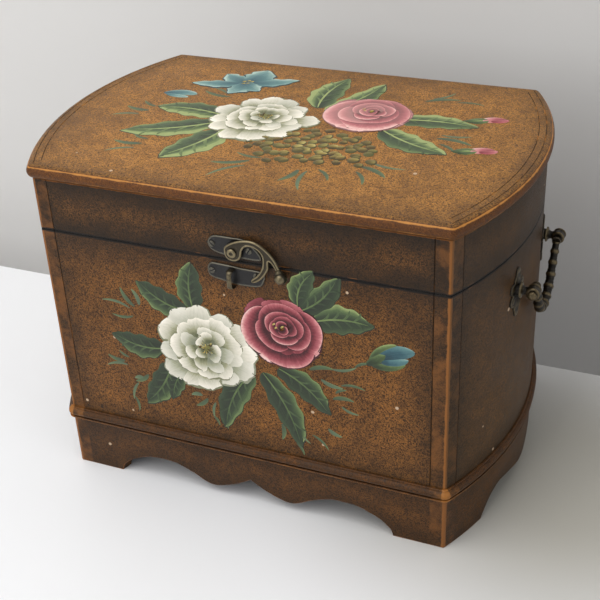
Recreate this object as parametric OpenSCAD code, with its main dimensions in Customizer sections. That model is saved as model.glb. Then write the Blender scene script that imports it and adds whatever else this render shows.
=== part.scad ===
// Painted wooden keepsake box with a hinged lid, a swing hook latch and two end handles.
// Millimetres, Z up, front towards -Y, origin under the middle of the box at the feet.

/* [Case] */
// Straight length of the front between its corners
body_l = 288; // [250:1:330]
// Depth of the walls from front to back
body_d = 220; // [190:1:250]
// Height from the feet to the top of the lid
total_h = 250; // [225:1:290]
// How far each end bows outward past the front corners
end_bow = 28; // [20:0.5:36]
// Thickness of the wall boards
wall = 7; // [5:0.5:9]
// Height of the scalloped base below the moulding
base_h = 43; // [36:1:50]
// Thickness of the bottom board
bottom_t = 6; // [4:0.5:8]

/* [Trim] */
// Height of the base moulding
trim_h = 9; // [8:0.5:11]
// How far the bead of the moulding stands out from the wall
trim_out = 3.8; // [3:0.1:5]
// Thickness of the scalloped skirt
skirt_t = 8; // [6:0.5:10]
// Width of the scribed border lines
line_w = 0.8; // [0.6:0.1:1.2]
// Distance of the border lines from the corners
border = 9.5; // [7:0.5:14]

/* [Lid] */
// Height of the closed lid, top panel included
lid_h = 48; // [42:1:60]
// Thickness of the top panel with its rounded edge
panel_t = 10; // [8:0.5:12]
// How far the top panel stands out over the rails
overhang = 3.3; // [2.5:0.1:4.5]

/* [Latch] */
// Length of the latch plate on the lid
latch_w = 36.8; // [34:0.2:40]
// Thickness of the two latch plates
plate_t = 1.2; // [0.8:0.1:1.6]
// Thickness of the swinging hook
hook_t = 1.6; // [1.2:0.1:2]
// Radius of the ball at the end of the hook
ball_r = 3.9; // [3:0.1:4]

/* [Handles] */
// Distance between the two posts of a handle
post_gap = 80; // [72:1:90]
// Height of the handle pivot below the lid seam
pivot_drop = 30; // [26:1:40]
// Distance from the end wall to the handle pivot
pivot_out = 8; // [7.5:0.5:11]
// Radius of the cast handle rod between its beads
rod_r = 2.7; // [2:0.1:3.2]

/* [Hinges] */
// Length of each hinge along its pin
hinge_w = 32; // [24:1:44]
// Distance of each hinge's middle from the nearest back corner
hinge_inset = 59; // [40:1:90]
// Radius of the hinge pin
pin_r = 1; // [0.8:0.1:1.2]

/* [Hidden] */
$fn = 96;
e = 0.5;
half_l = body_l / 2;
half_d = body_d / 2;
seam = total_h - lid_h;
panel_z = total_h - panel_t;
end_r = (end_bow * end_bow + half_d * half_d) / (2 * end_bow);
end_x = half_l + end_bow;
arc_x = end_r - end_x;
relief = 0.6;
line_deep = 0.4;
skirt_out = 0.4;
fit = 0.05;
far = 2 * (body_l + body_d);

// Latch, measured from its pivot on the lid
latch_k = latch_w / 36.8;
hook_x = 1.9;
hook_up = 7.5 * latch_k;
hook_z = seam + hook_up;
gap = 1.3;
hook_back = half_d + plate_t + gap;
rivet_r = 1.5;
staple_x = -0.5;
staple_z = seam - 12.4 * latch_k;
staple_half = 6.7 * latch_k;
staple_t = 1.1;
staple_w = 5 * latch_k;
staple_bend = 2.6;
ball_at = [33.4, -12.3] * latch_k;
rivet_head_r = 3.1;
staple_out = plate_t + gap + hook_t + 2.5;
head_r = 2.2;
head_h = 0.8;
slot_w = 0.6;
keeper_screw_at = [[-14.1, 3.2], [17.3, 4]] * latch_k;
hook_screw_at = [[-15, 3.1], [10.7, 1.7]] * latch_k;

// Handles
pivot_z = seam - pivot_drop;
pivot_x = end_x + pivot_out;
post_y = post_gap / 2;
rose_y = post_y - 1;
rose_z = pivot_z - 2.5;
rose_t = 1.3;
rose_turn = asin(rose_y / end_r);
eye_r = 4.6;
eye_w = 8;
bail_pin_r = 2;
foot_r = 4;

// Hinges
hinge_x = half_l - hinge_inset;
leaf_t = 1.2;
leaf_h = 17;
knuckle_r = pin_r + 1.3;
knuckle_y = half_d + knuckle_r + 0.3;
knuckle_gap = 0.3;

// Smooth curves through lists of points
function bend(a, b, c, d, t) = 0.5 * (2 * b + (c - a) * t + (2 * a - 5 * b + 4 * c - d) * t * t
  + (3 * b - a - 3 * c + d) * t * t * t);
function open_curve(p, n) = [for (i = [0 : len(p) - 2]) for (k = [0 : (i == len(p) - 2 ? n : n - 1)])
  bend(p[max(i - 1, 0)], p[i], p[i + 1], p[min(i + 2, len(p) - 1)], k / n)];
function closed_curve(p, n) = [for (i = [0 : len(p) - 1]) for (k = [0 : n - 1])
  bend(p[(i + len(p) - 1) % len(p)], p[i], p[(i + 1) % len(p)], p[(i + 2) % len(p)], k / n)];
function sideways(p) = [for (i = [len(p) - 1 : -1 : 1]) [-p[i][0], p[i][1]]];

// Half of the front scallop from the pointed middle to the foot, at the drawn size
front_half = [[0, 20], [6.5, 16], [13, 12.3], [24, 8], [31, 7], [37.7, 9.1], [45.5, 13.6],
  [55, 17.6], [61.5, 19.7], [70, 20.3], [82.6, 19.2], [91.6, 15.8], [99, 12], [106, 5.6], [108, -1]];
// Half of the end scallop from its middle lobe to the foot
end_half = [[0, 5], [10, 6.6], [25, 11.6], [36, 14.7], [48, 17.3], [55, 16.3], [62, 13],
  [68, 7.3], [74, -1]];
// Outline of the hook around its pivot: arm, throat and claw
hook_line = [[-5.5, 0.5], [-4.5, 4.3], [1.4, 8.1], [7.8, 10.2], [14, 10.6], [19.3, 9], [23.9, 5.8],
  [27.7, 1.9], [30.2, -2], [32, -6], [33.9, -10], [31.2, -11], [29.4, -7], [27.4, -3.6],
  [25.2, -2.4], [24.8, -7.5], [22.4, -12.2], [19, -16.4], [15.4, -19], [12.4, -19.4],
  [12.8, -17], [16.2, -13.9], [19.4, -9.4], [21, -4.6], [20.9, 0.4], [19, 3.9], [15.1, 6.1],
  [10.2, 6], [7.2, 2.6], [6.2, -1.9], [4, -4.8], [0, -5.9], [-4, -4.1]];
// Outline of the plate on the lid, around the hook pivot
upper_line = [[-18, 3.4], [-16.4, 7.4], [-12.5, 9.3], [-2.6, 9.5], [7.8, 9.1], [14, 5], [18.8, -1.2],
  [17.2, -4.4], [4.7, -4.4], [-7.9, -3.7], [-15.5, -1.3]];
// Outline of the plate on the case, around the staple
lower_line = [[-17.3, 4.6], [-14.8, 8.7], [-7.6, 8.9], [0.9, 8.5], [6.5, 8.1], [17.7, 7.8],
  [23.1, 5.9], [22, -0.2], [18.3, -3.9], [5.5, -4.8], [-7.2, -3.3], [-15.7, -1.1]];
// Beads of the hanging handle from its pivot end to its middle, as shares of the half span and drop
bail_half = [[0.795, 0.01], [0.715, 0.2], [0.61, 0.4], [0.505, 0.625], [0.365, 0.83], [0.185, 0.955],
  [0, 1]];
bail_drop = 31.8;
bead_r = rod_r + 0.8;
// Lobes of a handle plate: across, up and radius
lobes = [[0, 0, 7.5], [6.2, 4.6, 4.2], [-6.2, 4.6, 4.2], [6.2, -4.6, 4.2], [-6.2, -4.6, 4.2],
  [0, 9.5, 5.2], [0, -9.5, 5.2], [0, 15.3, 3.2], [0, -15.3, 3.2]];

// Corner of the plan grown outward by g
function corner_x(g) = sqrt((end_r + g) * (end_r + g) - (half_d + g) * (half_d + g)) - arc_x;
mitre_in = [corner_x(-wall), half_d - wall];
mitre_step = [half_l, half_d] - mitre_in;
mitre_far = mitre_in + 5 * mitre_step;
mitre_near = mitre_in - 4 * mitre_step;

// The bowed plan between two heights, grown outward by g
module slab(z0, z1, g) {
  translate([0, 0, z0])
    intersection() {
      translate([-arc_x, 0, 0])
        cylinder(r = end_r + g, h = z1 - z0);
      translate([arc_x, 0, 0])
        cylinder(r = end_r + g, h = z1 - z0);
      translate([-end_x - 20, -half_d - g, 0])
        cube([2 * end_x + 40, 2 * (half_d + g), z1 - z0]);
    }
}

// A ring of the plan between an outer and an inner outline
module ring(z0, z1, outer, inner) {
  difference() {
    slab(z0, z1, outer);
    slab(z0 - e, z1 + e, inner);
  }
}

// The share of a ring in front of the two corner mitres
module front_share() {
  translate([0, 0, -e])
    linear_extrude(height = total_h + 2 * e)
      polygon([[-mitre_near[0], -mitre_near[1]], [mitre_near[0], -mitre_near[1]],
        [mitre_far[0], -mitre_far[1]], [-mitre_far[0], -mitre_far[1]]]);
}

// The share of a ring beyond the mitres of the right end
module right_share() {
  translate([0, 0, -e])
    linear_extrude(height = total_h + 2 * e)
      polygon([[mitre_near[0], -mitre_near[1]], [mitre_far[0], -mitre_far[1]],
        [end_x + 60, -mitre_far[1]], [end_x + 60, mitre_far[1]],
        [mitre_far[0], mitre_far[1]], [mitre_near[0], mitre_near[1]]]);
}

// Small step cut around the seam between case and lid
module seam_relief() {
  ring(seam - relief, seam + relief, 5, -relief);
}

// Two upright scribed lines on the front, seen from -Y
module front_lines() {
  for (side = [-1, 1])
    translate([side * (half_l - border) - line_w / 2, -half_d - e, base_h + trim_h])
      cube([line_w, line_deep + e, panel_z - base_h - trim_h]);
}

// Two upright scribed lines on the right end
module right_lines() {
  for (side = [-1, 1])
    translate([-arc_x, 0, base_h + trim_h])
      rotate([0, 0, side * (asin(half_d / end_r) - 2 * asin(border / 2 / end_r))])
        translate([end_r - line_deep, -line_w / 2, 0])
          cube([line_deep + e, line_w, panel_z - base_h - trim_h]);
}

// Profile of the top panel for a face at distance r
module panel_half(r) {
  square([r + overhang - panel_t / 2, panel_t]);
  translate([r + overhang - panel_t / 2, panel_t / 2])
    circle(r = panel_t / 2);
}

// Profile of the base moulding for a face at distance r
module trim_half(r) {
  square([r + trim_out - 0.6, 0.18 * trim_h]);
  translate([r + trim_out - 0.36 * trim_h, 0.52 * trim_h])
    circle(r = 0.36 * trim_h);
  square([r + trim_out - 0.36 * trim_h, 0.86 * trim_h]);
  square([r + 0.4 * trim_out, trim_h]);
}

module panel_solid() {
  translate([0, 0, panel_z])
    intersection() {
      translate([-arc_x, 0, 0])
        rotate_extrude()
          panel_half(end_r);
      translate([arc_x, 0, 0])
        rotate_extrude()
          panel_half(end_r);
      translate([-end_x - 20, 0, 0])
        rotate([90, 0, 90])
          linear_extrude(height = 2 * end_x + 40) {
            panel_half(half_d);
            mirror([1, 0])
              panel_half(half_d);
          }
    }
}

module trim_ring() {
  difference() {
    translate([0, 0, base_h])
      intersection() {
        translate([-arc_x, 0, 0])
          rotate_extrude()
            trim_half(end_r);
        translate([arc_x, 0, 0])
          rotate_extrude()
            trim_half(end_r);
        translate([-end_x - 20, 0, 0])
          rotate([90, 0, 90])
            linear_extrude(height = 2 * end_x + 40) {
              trim_half(half_d);
              mirror([1, 0])
                trim_half(half_d);
            }
      }
    slab(base_h - e, base_h + trim_h + e, 0);
  }
}

module front_board() {
  color([0.42, 0.3, 0.19])
    difference() {
      intersection() {
        ring(base_h, seam, 0, -wall);
        front_share();
      }
      seam_relief();
      front_lines();
    }
}

module back_board() {
  color([0.4, 0.29, 0.18])
    difference() {
      intersection() {
        ring(base_h, seam, 0, -wall);
        mirror([0, 1, 0])
          front_share();
      }
      seam_relief();
    }
}

module right_end_board() {
  color([0.36, 0.28, 0.2])
    difference() {
      intersection() {
        ring(base_h, seam, 0, -wall);
        right_share();
      }
      seam_relief();
      right_lines();
    }
}

module left_end_board() {
  color([0.36, 0.28, 0.2])
    mirror([1, 0, 0])
      difference() {
        intersection() {
          ring(base_h, seam, 0, -wall);
          right_share();
        }
        seam_relief();
        right_lines();
      }
}

module bottom_board() {
  color([0.3, 0.23, 0.16])
    slab(base_h, base_h + bottom_t, -wall);
}

module front_moulding() {
  color([0.45, 0.29, 0.15])
    intersection() {
      trim_ring();
      front_share();
    }
}

module back_moulding() {
  color([0.45, 0.29, 0.15])
    intersection() {
      trim_ring();
      mirror([0, 1, 0])
        front_share();
    }
}

module right_moulding() {
  color([0.45, 0.29, 0.15])
    intersection() {
      trim_ring();
      right_share();
    }
}

module left_moulding() {
  color([0.45, 0.29, 0.15])
    intersection() {
      trim_ring();
      mirror([1, 0, 0])
        right_share();
    }
}

// Scallop of the front, scaled with the case
module front_scallop() {
  p = open_curve(front_half, 4);
  q = concat(sideways(p), p);
  translate([0, -mitre_near[1], 0])
    rotate([90, 0, 0])
      linear_extrude(height = half_d)
        polygon([for (a = q) [a[0] * half_l / 144, a[1] * base_h / 43]]);
}

// Scallop of the right end, scaled with the case
module right_scallop() {
  p = open_curve(end_half, 4);
  q = concat(sideways(p), p);
  translate([mitre_near[0] - 20, 0, 0])
    rotate([90, 0, 90])
      linear_extrude(height = half_l)
        polygon([for (a = q) [a[0] * half_d / 110, a[1] * base_h / 43]]);
}

module front_skirt() {
  color([0.4, 0.28, 0.17])
    difference() {
      intersection() {
        ring(0, base_h, skirt_out, skirt_out - skirt_t);
        front_share();
      }
      front_scallop();
    }
}

module back_skirt() {
  color([0.4, 0.28, 0.17])
    difference() {
      intersection() {
        ring(0, base_h, skirt_out, skirt_out - skirt_t);
        mirror([0, 1, 0])
          front_share();
      }
      mirror([0, 1, 0])
        front_scallop();
    }
}

module right_skirt() {
  color([0.38, 0.27, 0.17])
    difference() {
      intersection() {
        ring(0, base_h, skirt_out, skirt_out - skirt_t);
        right_share();
      }
      right_scallop();
    }
}

module left_skirt() {
  color([0.38, 0.27, 0.17])
    mirror([1, 0, 0])
      difference() {
        intersection() {
          ring(0, base_h, skirt_out, skirt_out - skirt_t);
          right_share();
        }
        right_scallop();
      }
}

// Places a drawing of the front view against the front face
module on_front(x, z, proud) {
  translate([x, -half_d - proud, z])
    rotate([90, 0, 0])
      children();
}

// A slotted screw head seen from the front
module screw_head(turn) {
  difference() {
    cylinder(r = head_r, h = head_h);
    rotate([0, 0, turn])
      translate([-head_r - e, -slot_w / 2, head_h / 2])
        cube([2 * head_r + 2 * e, slot_w, head_h]);
  }
}

module keeper_plate() {
  color([0.22, 0.21, 0.2])
    on_front(staple_x, staple_z, 0)
      linear_extrude(height = plate_t)
        polygon(closed_curve(lower_line * latch_k, 4));
}

// Side outline of the staple strap, y outward and z up
module strap_side(h, out, r) {
  square([out - r, 2 * h]);
  translate([0, r])
    square([out, 2 * h - 2 * r]);
  translate([out - r, r])
    circle(r = r);
  translate([out - r, 2 * h - r])
    circle(r = r);
}

module keeper_staple() {
  color([0.55, 0.45, 0.24])
    translate([staple_x - staple_w / 2, -half_d - plate_t, staple_z])
      rotate([90, 0, 90])
        mirror([1, 0, 0])
          difference() {
            translate([0, -staple_half, 0])
              linear_extrude(height = staple_w)
                strap_side(staple_half, staple_out - plate_t, staple_bend);
            translate([-e, -staple_half + staple_t, -e])
              linear_extrude(height = staple_w + 2 * e)
                strap_side(staple_half - staple_t, staple_out - plate_t - staple_t + e, staple_bend - staple_t);
          }
}

module keeper_screws() {
  color([0.3, 0.27, 0.2]) {
    for (i = [0, 1])
      on_front(staple_x + keeper_screw_at[i][0], staple_z + keeper_screw_at[i][1], plate_t)
        screw_head(25 + 45 * i);
  }
}

module hook_plate() {
  color([0.22, 0.21, 0.2])
    on_front(hook_x, hook_z, 0)
      linear_extrude(height = plate_t)
        difference() {
          polygon(closed_curve(upper_line * latch_k, 4));
          circle(r = rivet_r + fit);
        }
}

module hook_plate_screws() {
  color([0.3, 0.27, 0.2]) {
    for (i = [0, 1])
      on_front(hook_x + hook_screw_at[i][0], hook_z + hook_screw_at[i][1], plate_t)
        screw_head(140 - 80 * i);
  }
}

// Spacer, shank and domed head of the hook pivot
module hook_rivet() {
  color([0.4, 0.36, 0.28])
    on_front(hook_x, hook_z, 0)
      rotate_extrude() {
        square([rivet_r, hook_back - half_d + hook_t + 1.1]);
        translate([0, plate_t])
          square([rivet_head_r, gap - 0.35]);
        translate([0, hook_back - half_d + hook_t + 0.2])
          square([rivet_head_r, 0.9]);
      }
}

module latch_hook() {
  color([0.62, 0.5, 0.28]) {
    on_front(hook_x, hook_z, hook_back - half_d)
      difference() {
        union() {
          linear_extrude(height = hook_t)
            polygon(closed_curve(hook_line * latch_k, 4));
          translate([ball_at[0], ball_at[1], ball_r - hook_back + half_d + 0.4])
            sphere(r = ball_r);
        }
        translate([0, 0, -e])
          cylinder(r = rivet_r + fit, h = hook_t + 2 * e);
      }
  }
}

// Cast plate that follows the bowed end behind a post
module rosette(side) {
  intersection() {
    translate([-arc_x, 0, rose_z - 30])
      difference() {
        cylinder(r = end_r + rose_t, h = 60);
        translate([0, 0, -e])
          cylinder(r = end_r, h = 60 + 2 * e);
      }
    translate([-arc_x, 0, rose_z])
      rotate([0, 0, side * rose_turn])
        translate([end_r - 5, 0, 0])
          rotate([90, 0, 90])
            linear_extrude(height = 12)
              for (l = lobes)
                translate([l[0], l[1]])
                  circle(r = l[2]);
  }
}

module pierced_rosette(side) {
  difference() {
    rosette(side);
    translate([end_x - 20, side * post_y, pivot_z])
      rotate([0, 90, 0])
        cylinder(r = foot_r + fit, h = 40);
  }
}

module right_front_rosette() {
  color([0.24, 0.21, 0.18])
    pierced_rosette(-1);
}

module right_rear_rosette() {
  color([0.24, 0.21, 0.18])
    pierced_rosette(1);
}

module left_front_rosette() {
  color([0.24, 0.21, 0.18])
    mirror([1, 0, 0])
      pierced_rosette(-1);
}

module left_rear_rosette() {
  color([0.24, 0.21, 0.18])
    mirror([1, 0, 0])
      pierced_rosette(1);
}

// Turned post with a bored eye for the handle
module post(side) {
  difference() {
    union() {
      translate([end_x - 10, side * post_y, pivot_z])
        rotate([0, 90, 0])
          cylinder(r = foot_r, h = 9.5);
      translate([end_x - 1, side * post_y, pivot_z])
        rotate([0, 90, 0])
          cylinder(r = 5.4, h = 1.6);
      translate([end_x - 1, side * post_y, pivot_z])
        rotate([0, 90, 0])
          cylinder(r = 3.1, h = pivot_out + 1);
      translate([pivot_x, side * post_y - eye_w / 2, pivot_z])
        rotate([-90, 0, 0])
          cylinder(r = eye_r, h = eye_w);
    }
    translate([pivot_x, side * post_y - eye_w, pivot_z])
      rotate([-90, 0, 0])
        cylinder(r = bail_pin_r + fit, h = 2 * eye_w);
    translate([-arc_x, 0, pivot_z - 20])
      cylinder(r = end_r, h = 40);
  }
}

module right_front_post() {
  color([0.28, 0.24, 0.19])
    post(-1);
}

module right_rear_post() {
  color([0.28, 0.24, 0.19])
    post(1);
}

module left_front_post() {
  color([0.28, 0.24, 0.19])
    mirror([1, 0, 0])
      post(-1);
}

module left_rear_post() {
  color([0.28, 0.24, 0.19])
    mirror([1, 0, 0])
      post(1);
}

// Straight rod between two points of the handle's own plane
module rod(a, b) {
  d = b - a;
  translate([pivot_x, a[0], a[1]])
    rotate([atan2(-d[0], d[1]), 0, 0])
      cylinder(r = rod_r, h = norm(d), $fn = 12);
}

function bead(i) = [bail_half[i][0] * post_y, pivot_z - bail_half[i][1] * bail_drop];

// Pin of a bail end with its outer knob
module bail_pin() {
  knob = post_y + eye_w / 2 + 0.5 - bead(0)[0];
  rotate_extrude()
    polygon([[0, 0], [bail_pin_r, 0], [bail_pin_r, knob], [bail_pin_r + 1, knob],
      [bail_pin_r + 1, knob + 1.8], [bail_pin_r + 0.4, knob + 2.4], [0, knob + 2.4]]);
}

module bail() {
  translate([pivot_x, bead(6)[0], bead(6)[1]])
    sphere(r = bead_r + 0.5, $fn = 12);
  for (s = [-1, 1]) {
    for (i = [0 : len(bail_half) - 2]) {
      translate([pivot_x, s * bead(i)[0], bead(i)[1]])
        sphere(r = bead_r, $fn = 12);
      rod([s * bead(i)[0], bead(i)[1]], [s * bead(i + 1)[0], bead(i + 1)[1]]);
    }
    translate([pivot_x, s * bead(0)[0], pivot_z])
      rotate([-90 * s, 0, 0])
        bail_pin();
  }
}

module right_bail() {
  color([0.3, 0.25, 0.18])
    bail();
}

module left_bail() {
  color([0.3, 0.25, 0.18])
    mirror([1, 0, 0])
      bail();
}

// Knuckles of a hinge: share 0 is the middle one, share 1 the two outer ones
module knuckles(share) {
  third = hinge_w / 3;
  if (share == 0) {
    translate([-third / 2 + knuckle_gap / 2, knuckle_y, seam])
      rotate([0, 90, 0])
        cylinder(r = knuckle_r, h = third - knuckle_gap);
  }
  if (share == 1) {
    for (s = [-1, 1])
      translate([s * third - third / 2 + knuckle_gap / 2, knuckle_y, seam])
        rotate([0, 90, 0])
          cylinder(r = knuckle_r, h = third - knuckle_gap);
  }
}

module pin_bore() {
  translate([-hinge_w, knuckle_y, seam])
    rotate([0, 90, 0])
      cylinder(r = pin_r + fit, h = 2 * hinge_w);
}

// Leaf on the case with the outer knuckles
module case_leaf() {
  third = hinge_w / 3;
  clear = knuckle_r + 0.4;
  difference() {
    union() {
      translate([-hinge_w / 2 + knuckle_gap / 2, half_d, seam - leaf_h])
        cube([hinge_w - knuckle_gap, leaf_t, leaf_h]);
      knuckles(1);
    }
    translate([-third / 2 - knuckle_gap / 2, half_d - e, seam - clear])
      cube([third + knuckle_gap, 10, 2 * clear]);
    pin_bore();
  }
}

// Leaf on the lid with the middle knuckle
module lid_leaf() {
  third = hinge_w / 3;
  clear = knuckle_r + 0.4;
  difference() {
    union() {
      translate([-hinge_w / 2 + knuckle_gap / 2, half_d, seam])
        cube([hinge_w - knuckle_gap, leaf_t, leaf_h]);
      knuckles(0);
    }
    for (s = [-1, 1])
      translate([s * third - third / 2 - (s < 0 ? e : knuckle_gap / 2), half_d - e, seam - clear])
        cube([third + e + knuckle_gap / 2, 10, 2 * clear]);
    pin_bore();
  }
}

module hinge_pin() {
  translate([-hinge_w / 2 - 0.8, knuckle_y, seam])
    rotate([0, 90, 0])
      cylinder(r = pin_r, h = hinge_w + 1.6);
  for (s = [-1, 1])
    translate([s * (hinge_w / 2 + 0.5) - 0.5, knuckle_y, seam])
      rotate([0, 90, 0])
        cylinder(r = pin_r + 0.5, h = 1);
}

// Screw heads of the hinge leaves, up on the lid and down on the case
module leaf_screws(way) {
  for (h = [-1, 1])
    for (s = [-1, 1])
      translate([h * hinge_x + s * hinge_w / 3.4, half_d + leaf_t, seam + way * leaf_h * 0.64])
        rotate([-90, 0, 0])
          screw_head(40 + 50 * s);
}

module right_hinge_case_leaf() {
  color([0.6, 0.48, 0.26])
    translate([hinge_x, 0, 0])
      case_leaf();
}

module left_hinge_case_leaf() {
  color([0.6, 0.48, 0.26])
    translate([-hinge_x, 0, 0])
      case_leaf();
}

module right_hinge_pin() {
  color([0.5, 0.42, 0.26])
    translate([hinge_x, 0, 0])
      hinge_pin();
}

module left_hinge_pin() {
  color([0.5, 0.42, 0.26])
    translate([-hinge_x, 0, 0])
      hinge_pin();
}

module hinge_case_screws() {
  color([0.55, 0.45, 0.26])
    leaf_screws(-1);
}

module right_hinge_lid_leaf() {
  color([0.6, 0.48, 0.26])
    translate([hinge_x, 0, 0])
      lid_leaf();
}

module left_hinge_lid_leaf() {
  color([0.6, 0.48, 0.26])
    translate([-hinge_x, 0, 0])
      lid_leaf();
}

module hinge_lid_screws() {
  color([0.55, 0.45, 0.26])
    leaf_screws(1);
}

// Scribed lines on the top: two along each end, one along the back
module top_lines() {
  for (s = [-1, 1])
    for (g = [5.5, 10.5])
      translate([-s * arc_x, 0, total_h - line_deep])
        difference() {
          cylinder(r = end_r + overhang - g, h = 1);
          translate([0, 0, -e])
            cylinder(r = end_r + overhang - g - line_w, h = 1 + 2 * e);
          translate([s > 0 ? -far : 0, -far / 2, -e])
            cube([far, far, 2]);
        }
}

module lid_panel() {
  color([0.5, 0.37, 0.24])
    difference() {
      panel_solid();
      top_lines();
    }
}

module lid_front_rail() {
  color([0.42, 0.3, 0.19])
    difference() {
      intersection() {
        ring(seam, panel_z, 0, -wall);
        front_share();
      }
      seam_relief();
      front_lines();
    }
}

module lid_back_rail() {
  color([0.4, 0.29, 0.18])
    difference() {
      intersection() {
        ring(seam, panel_z, 0, -wall);
        mirror([0, 1, 0])
          front_share();
      }
      seam_relief();
    }
}

module lid_right_rail() {
  color([0.36, 0.28, 0.2])
    difference() {
      intersection() {
        ring(seam, panel_z, 0, -wall);
        right_share();
      }
      seam_relief();
      right_lines();
    }
}

module lid_left_rail() {
  color([0.36, 0.28, 0.2])
    mirror([1, 0, 0])
      difference() {
        intersection() {
          ring(seam, panel_z, 0, -wall);
          right_share();
        }
        seam_relief();
        right_lines();
      }
}

front_board();
back_board();
right_end_board();
left_end_board();
bottom_board();
front_moulding();
back_moulding();
right_moulding();
left_moulding();
front_skirt();
back_skirt();
right_skirt();
left_skirt();
keeper_plate();
keeper_staple();
keeper_screws();
right_front_rosette();
right_rear_rosette();
left_front_rosette();
left_rear_rosette();
right_front_post();
right_rear_post();
left_front_post();
left_rear_post();
right_hinge_case_leaf();
left_hinge_case_leaf();
right_hinge_pin();
left_hinge_pin();
hinge_case_screws();
lid_panel();
lid_front_rail();
lid_back_rail();
lid_right_rail();
lid_left_rail();
hook_plate();
hook_plate_screws();
hook_rivet();
right_hinge_lid_leaf();
left_hinge_lid_leaf();
hinge_lid_screws();
latch_hook();
right_bail();
left_bail();
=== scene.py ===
import math
import bmesh
import bpy
import numpy as np
from mathutils import Matrix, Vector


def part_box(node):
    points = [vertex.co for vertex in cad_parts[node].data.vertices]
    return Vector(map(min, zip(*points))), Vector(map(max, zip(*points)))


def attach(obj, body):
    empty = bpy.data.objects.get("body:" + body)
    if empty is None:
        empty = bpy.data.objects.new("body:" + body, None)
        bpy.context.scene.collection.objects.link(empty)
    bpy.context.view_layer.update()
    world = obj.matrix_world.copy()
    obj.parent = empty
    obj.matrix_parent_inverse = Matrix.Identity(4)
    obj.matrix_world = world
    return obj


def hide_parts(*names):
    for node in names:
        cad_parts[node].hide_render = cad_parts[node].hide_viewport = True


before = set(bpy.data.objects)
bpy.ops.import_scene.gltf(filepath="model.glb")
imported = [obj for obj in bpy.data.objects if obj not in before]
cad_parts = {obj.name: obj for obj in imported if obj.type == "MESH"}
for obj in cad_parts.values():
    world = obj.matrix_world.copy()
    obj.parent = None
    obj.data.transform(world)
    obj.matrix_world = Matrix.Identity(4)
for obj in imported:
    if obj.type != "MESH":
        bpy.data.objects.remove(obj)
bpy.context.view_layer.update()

# The photograph's view: the box stands a little turned, seen from above its right front corner.
# The camera is placed in the box's own frame, with the lens that fits the perspective.
CAMERA_AT = (0.2959, -0.6819, 0.5622)
CAMERA_YAW, CAMERA_PITCH, CAMERA_ROLL = 0.4201, -0.5484, -0.0534
CAMERA_LENS = 69.12
CAMERA_SHIFT = (0.0129, 0.0009)


def camera_axes(yaw, pitch, roll):
    """Forward, right and up of a camera turned by yaw about Z, tipped by pitch, then rolled."""
    forward = np.array([-math.sin(yaw) * math.cos(pitch), math.cos(yaw) * math.cos(pitch), math.sin(pitch)])
    level = np.array([math.cos(yaw), math.sin(yaw), 0.0])
    upright = np.cross(level, forward)
    right = level * math.cos(roll) + upright * math.sin(roll)
    return forward, right, np.cross(right, forward)


forward, right, up = camera_axes(CAMERA_YAW, CAMERA_PITCH, CAMERA_ROLL)
camera = bpy.data.objects.new("camera", bpy.data.cameras.new("camera"))
camera.data.lens = CAMERA_LENS
camera.data.sensor_width = 36.0
camera.data.shift_x, camera.data.shift_y = CAMERA_SHIFT
bpy.context.scene.collection.objects.link(camera)
stance = np.eye(4)
stance[:3] = np.stack([right, up, -forward, CAMERA_AT], -1)
camera.matrix_world = Matrix(stance.tolist())
bpy.context.scene.camera = camera
bpy.context.scene.view_settings.view_transform = "Standard"


# The stage: a plain pale table with a sloping back and a wall that leaves room for the opened lid,
# lit by large soft lamps. The box's shadow is painted onto the table and the wall as soft darker
# patches to its right. The wall shows only from its front, so it never hides the box from behind.
def new_material(name):
    """An empty node material: returns it with its node tree and its Principled shader."""
    material = bpy.data.materials.new(name)
    material.use_nodes = True
    tree = material.node_tree
    return material, tree, tree.nodes["Principled BSDF"]


def flat_piece(name, corners, material):
    """One flat four-cornered stage surface."""
    mesh = bpy.data.meshes.new(name)
    mesh.from_pydata(corners, [], [(0, 1, 2, 3)])
    mesh.materials.append(material)
    thing = bpy.data.objects.new(name, mesh)
    bpy.context.scene.collection.objects.link(thing)
    return thing


def painted_shadow(tree, shader, pale, shadow_colour, centre, reach, share):
    """A painted shadow: a pale colour that darkens smoothly towards one spot."""
    place = tree.nodes.new("ShaderNodeTexCoord")
    scaled = tree.nodes.new("ShaderNodeMapping")
    scaled.inputs["Scale"].default_value = (1 / reach, 1 / reach, 1 / reach)
    scaled.inputs["Location"].default_value = [-c / reach for c in centre]
    ball = tree.nodes.new("ShaderNodeTexGradient")
    ball.gradient_type = "SPHERICAL"
    soften = tree.nodes.new("ShaderNodeMapRange")
    soften.interpolation_type = "SMOOTHSTEP"
    soften.inputs["From Max"].default_value = 0.85
    soften.inputs["To Max"].default_value = share
    mix = tree.nodes.new("ShaderNodeMix")
    mix.data_type = "RGBA"
    mix.inputs[6].default_value = (*pale, 1)
    mix.inputs[7].default_value = (*shadow_colour, 1)
    tree.links.new(place.outputs["Object"], scaled.inputs["Vector"])
    tree.links.new(scaled.outputs[0], ball.inputs["Vector"])
    tree.links.new(ball.outputs["Fac"], soften.inputs["Value"])
    tree.links.new(soften.outputs[0], mix.inputs[0])
    tree.links.new(mix.outputs[2], shader.inputs["Base Color"])


EDGE_Y, WALL_Y = 0.128, 0.212
table_paint, tree, shader = new_material("table_paint")
# Painted shadow of the box on the table: a warm dark patch to its right.
painted_shadow(tree, shader, (0.83, 0.84, 0.86), (0.36, 0.34, 0.28), (0.215, -0.01, 0), 0.25, 0.85)
shader.inputs["Roughness"].default_value = 0.45
flat_piece("table", [(-4, -4, 0), (4, -4, 0), (4, EDGE_Y, 0), (-4, EDGE_Y, 0)], table_paint)
flat_piece("table_back", [(-4, EDGE_Y, 0), (4, EDGE_Y, 0), (4, 1.6, -2.4), (-4, 1.6, -2.4)], table_paint)

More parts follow.
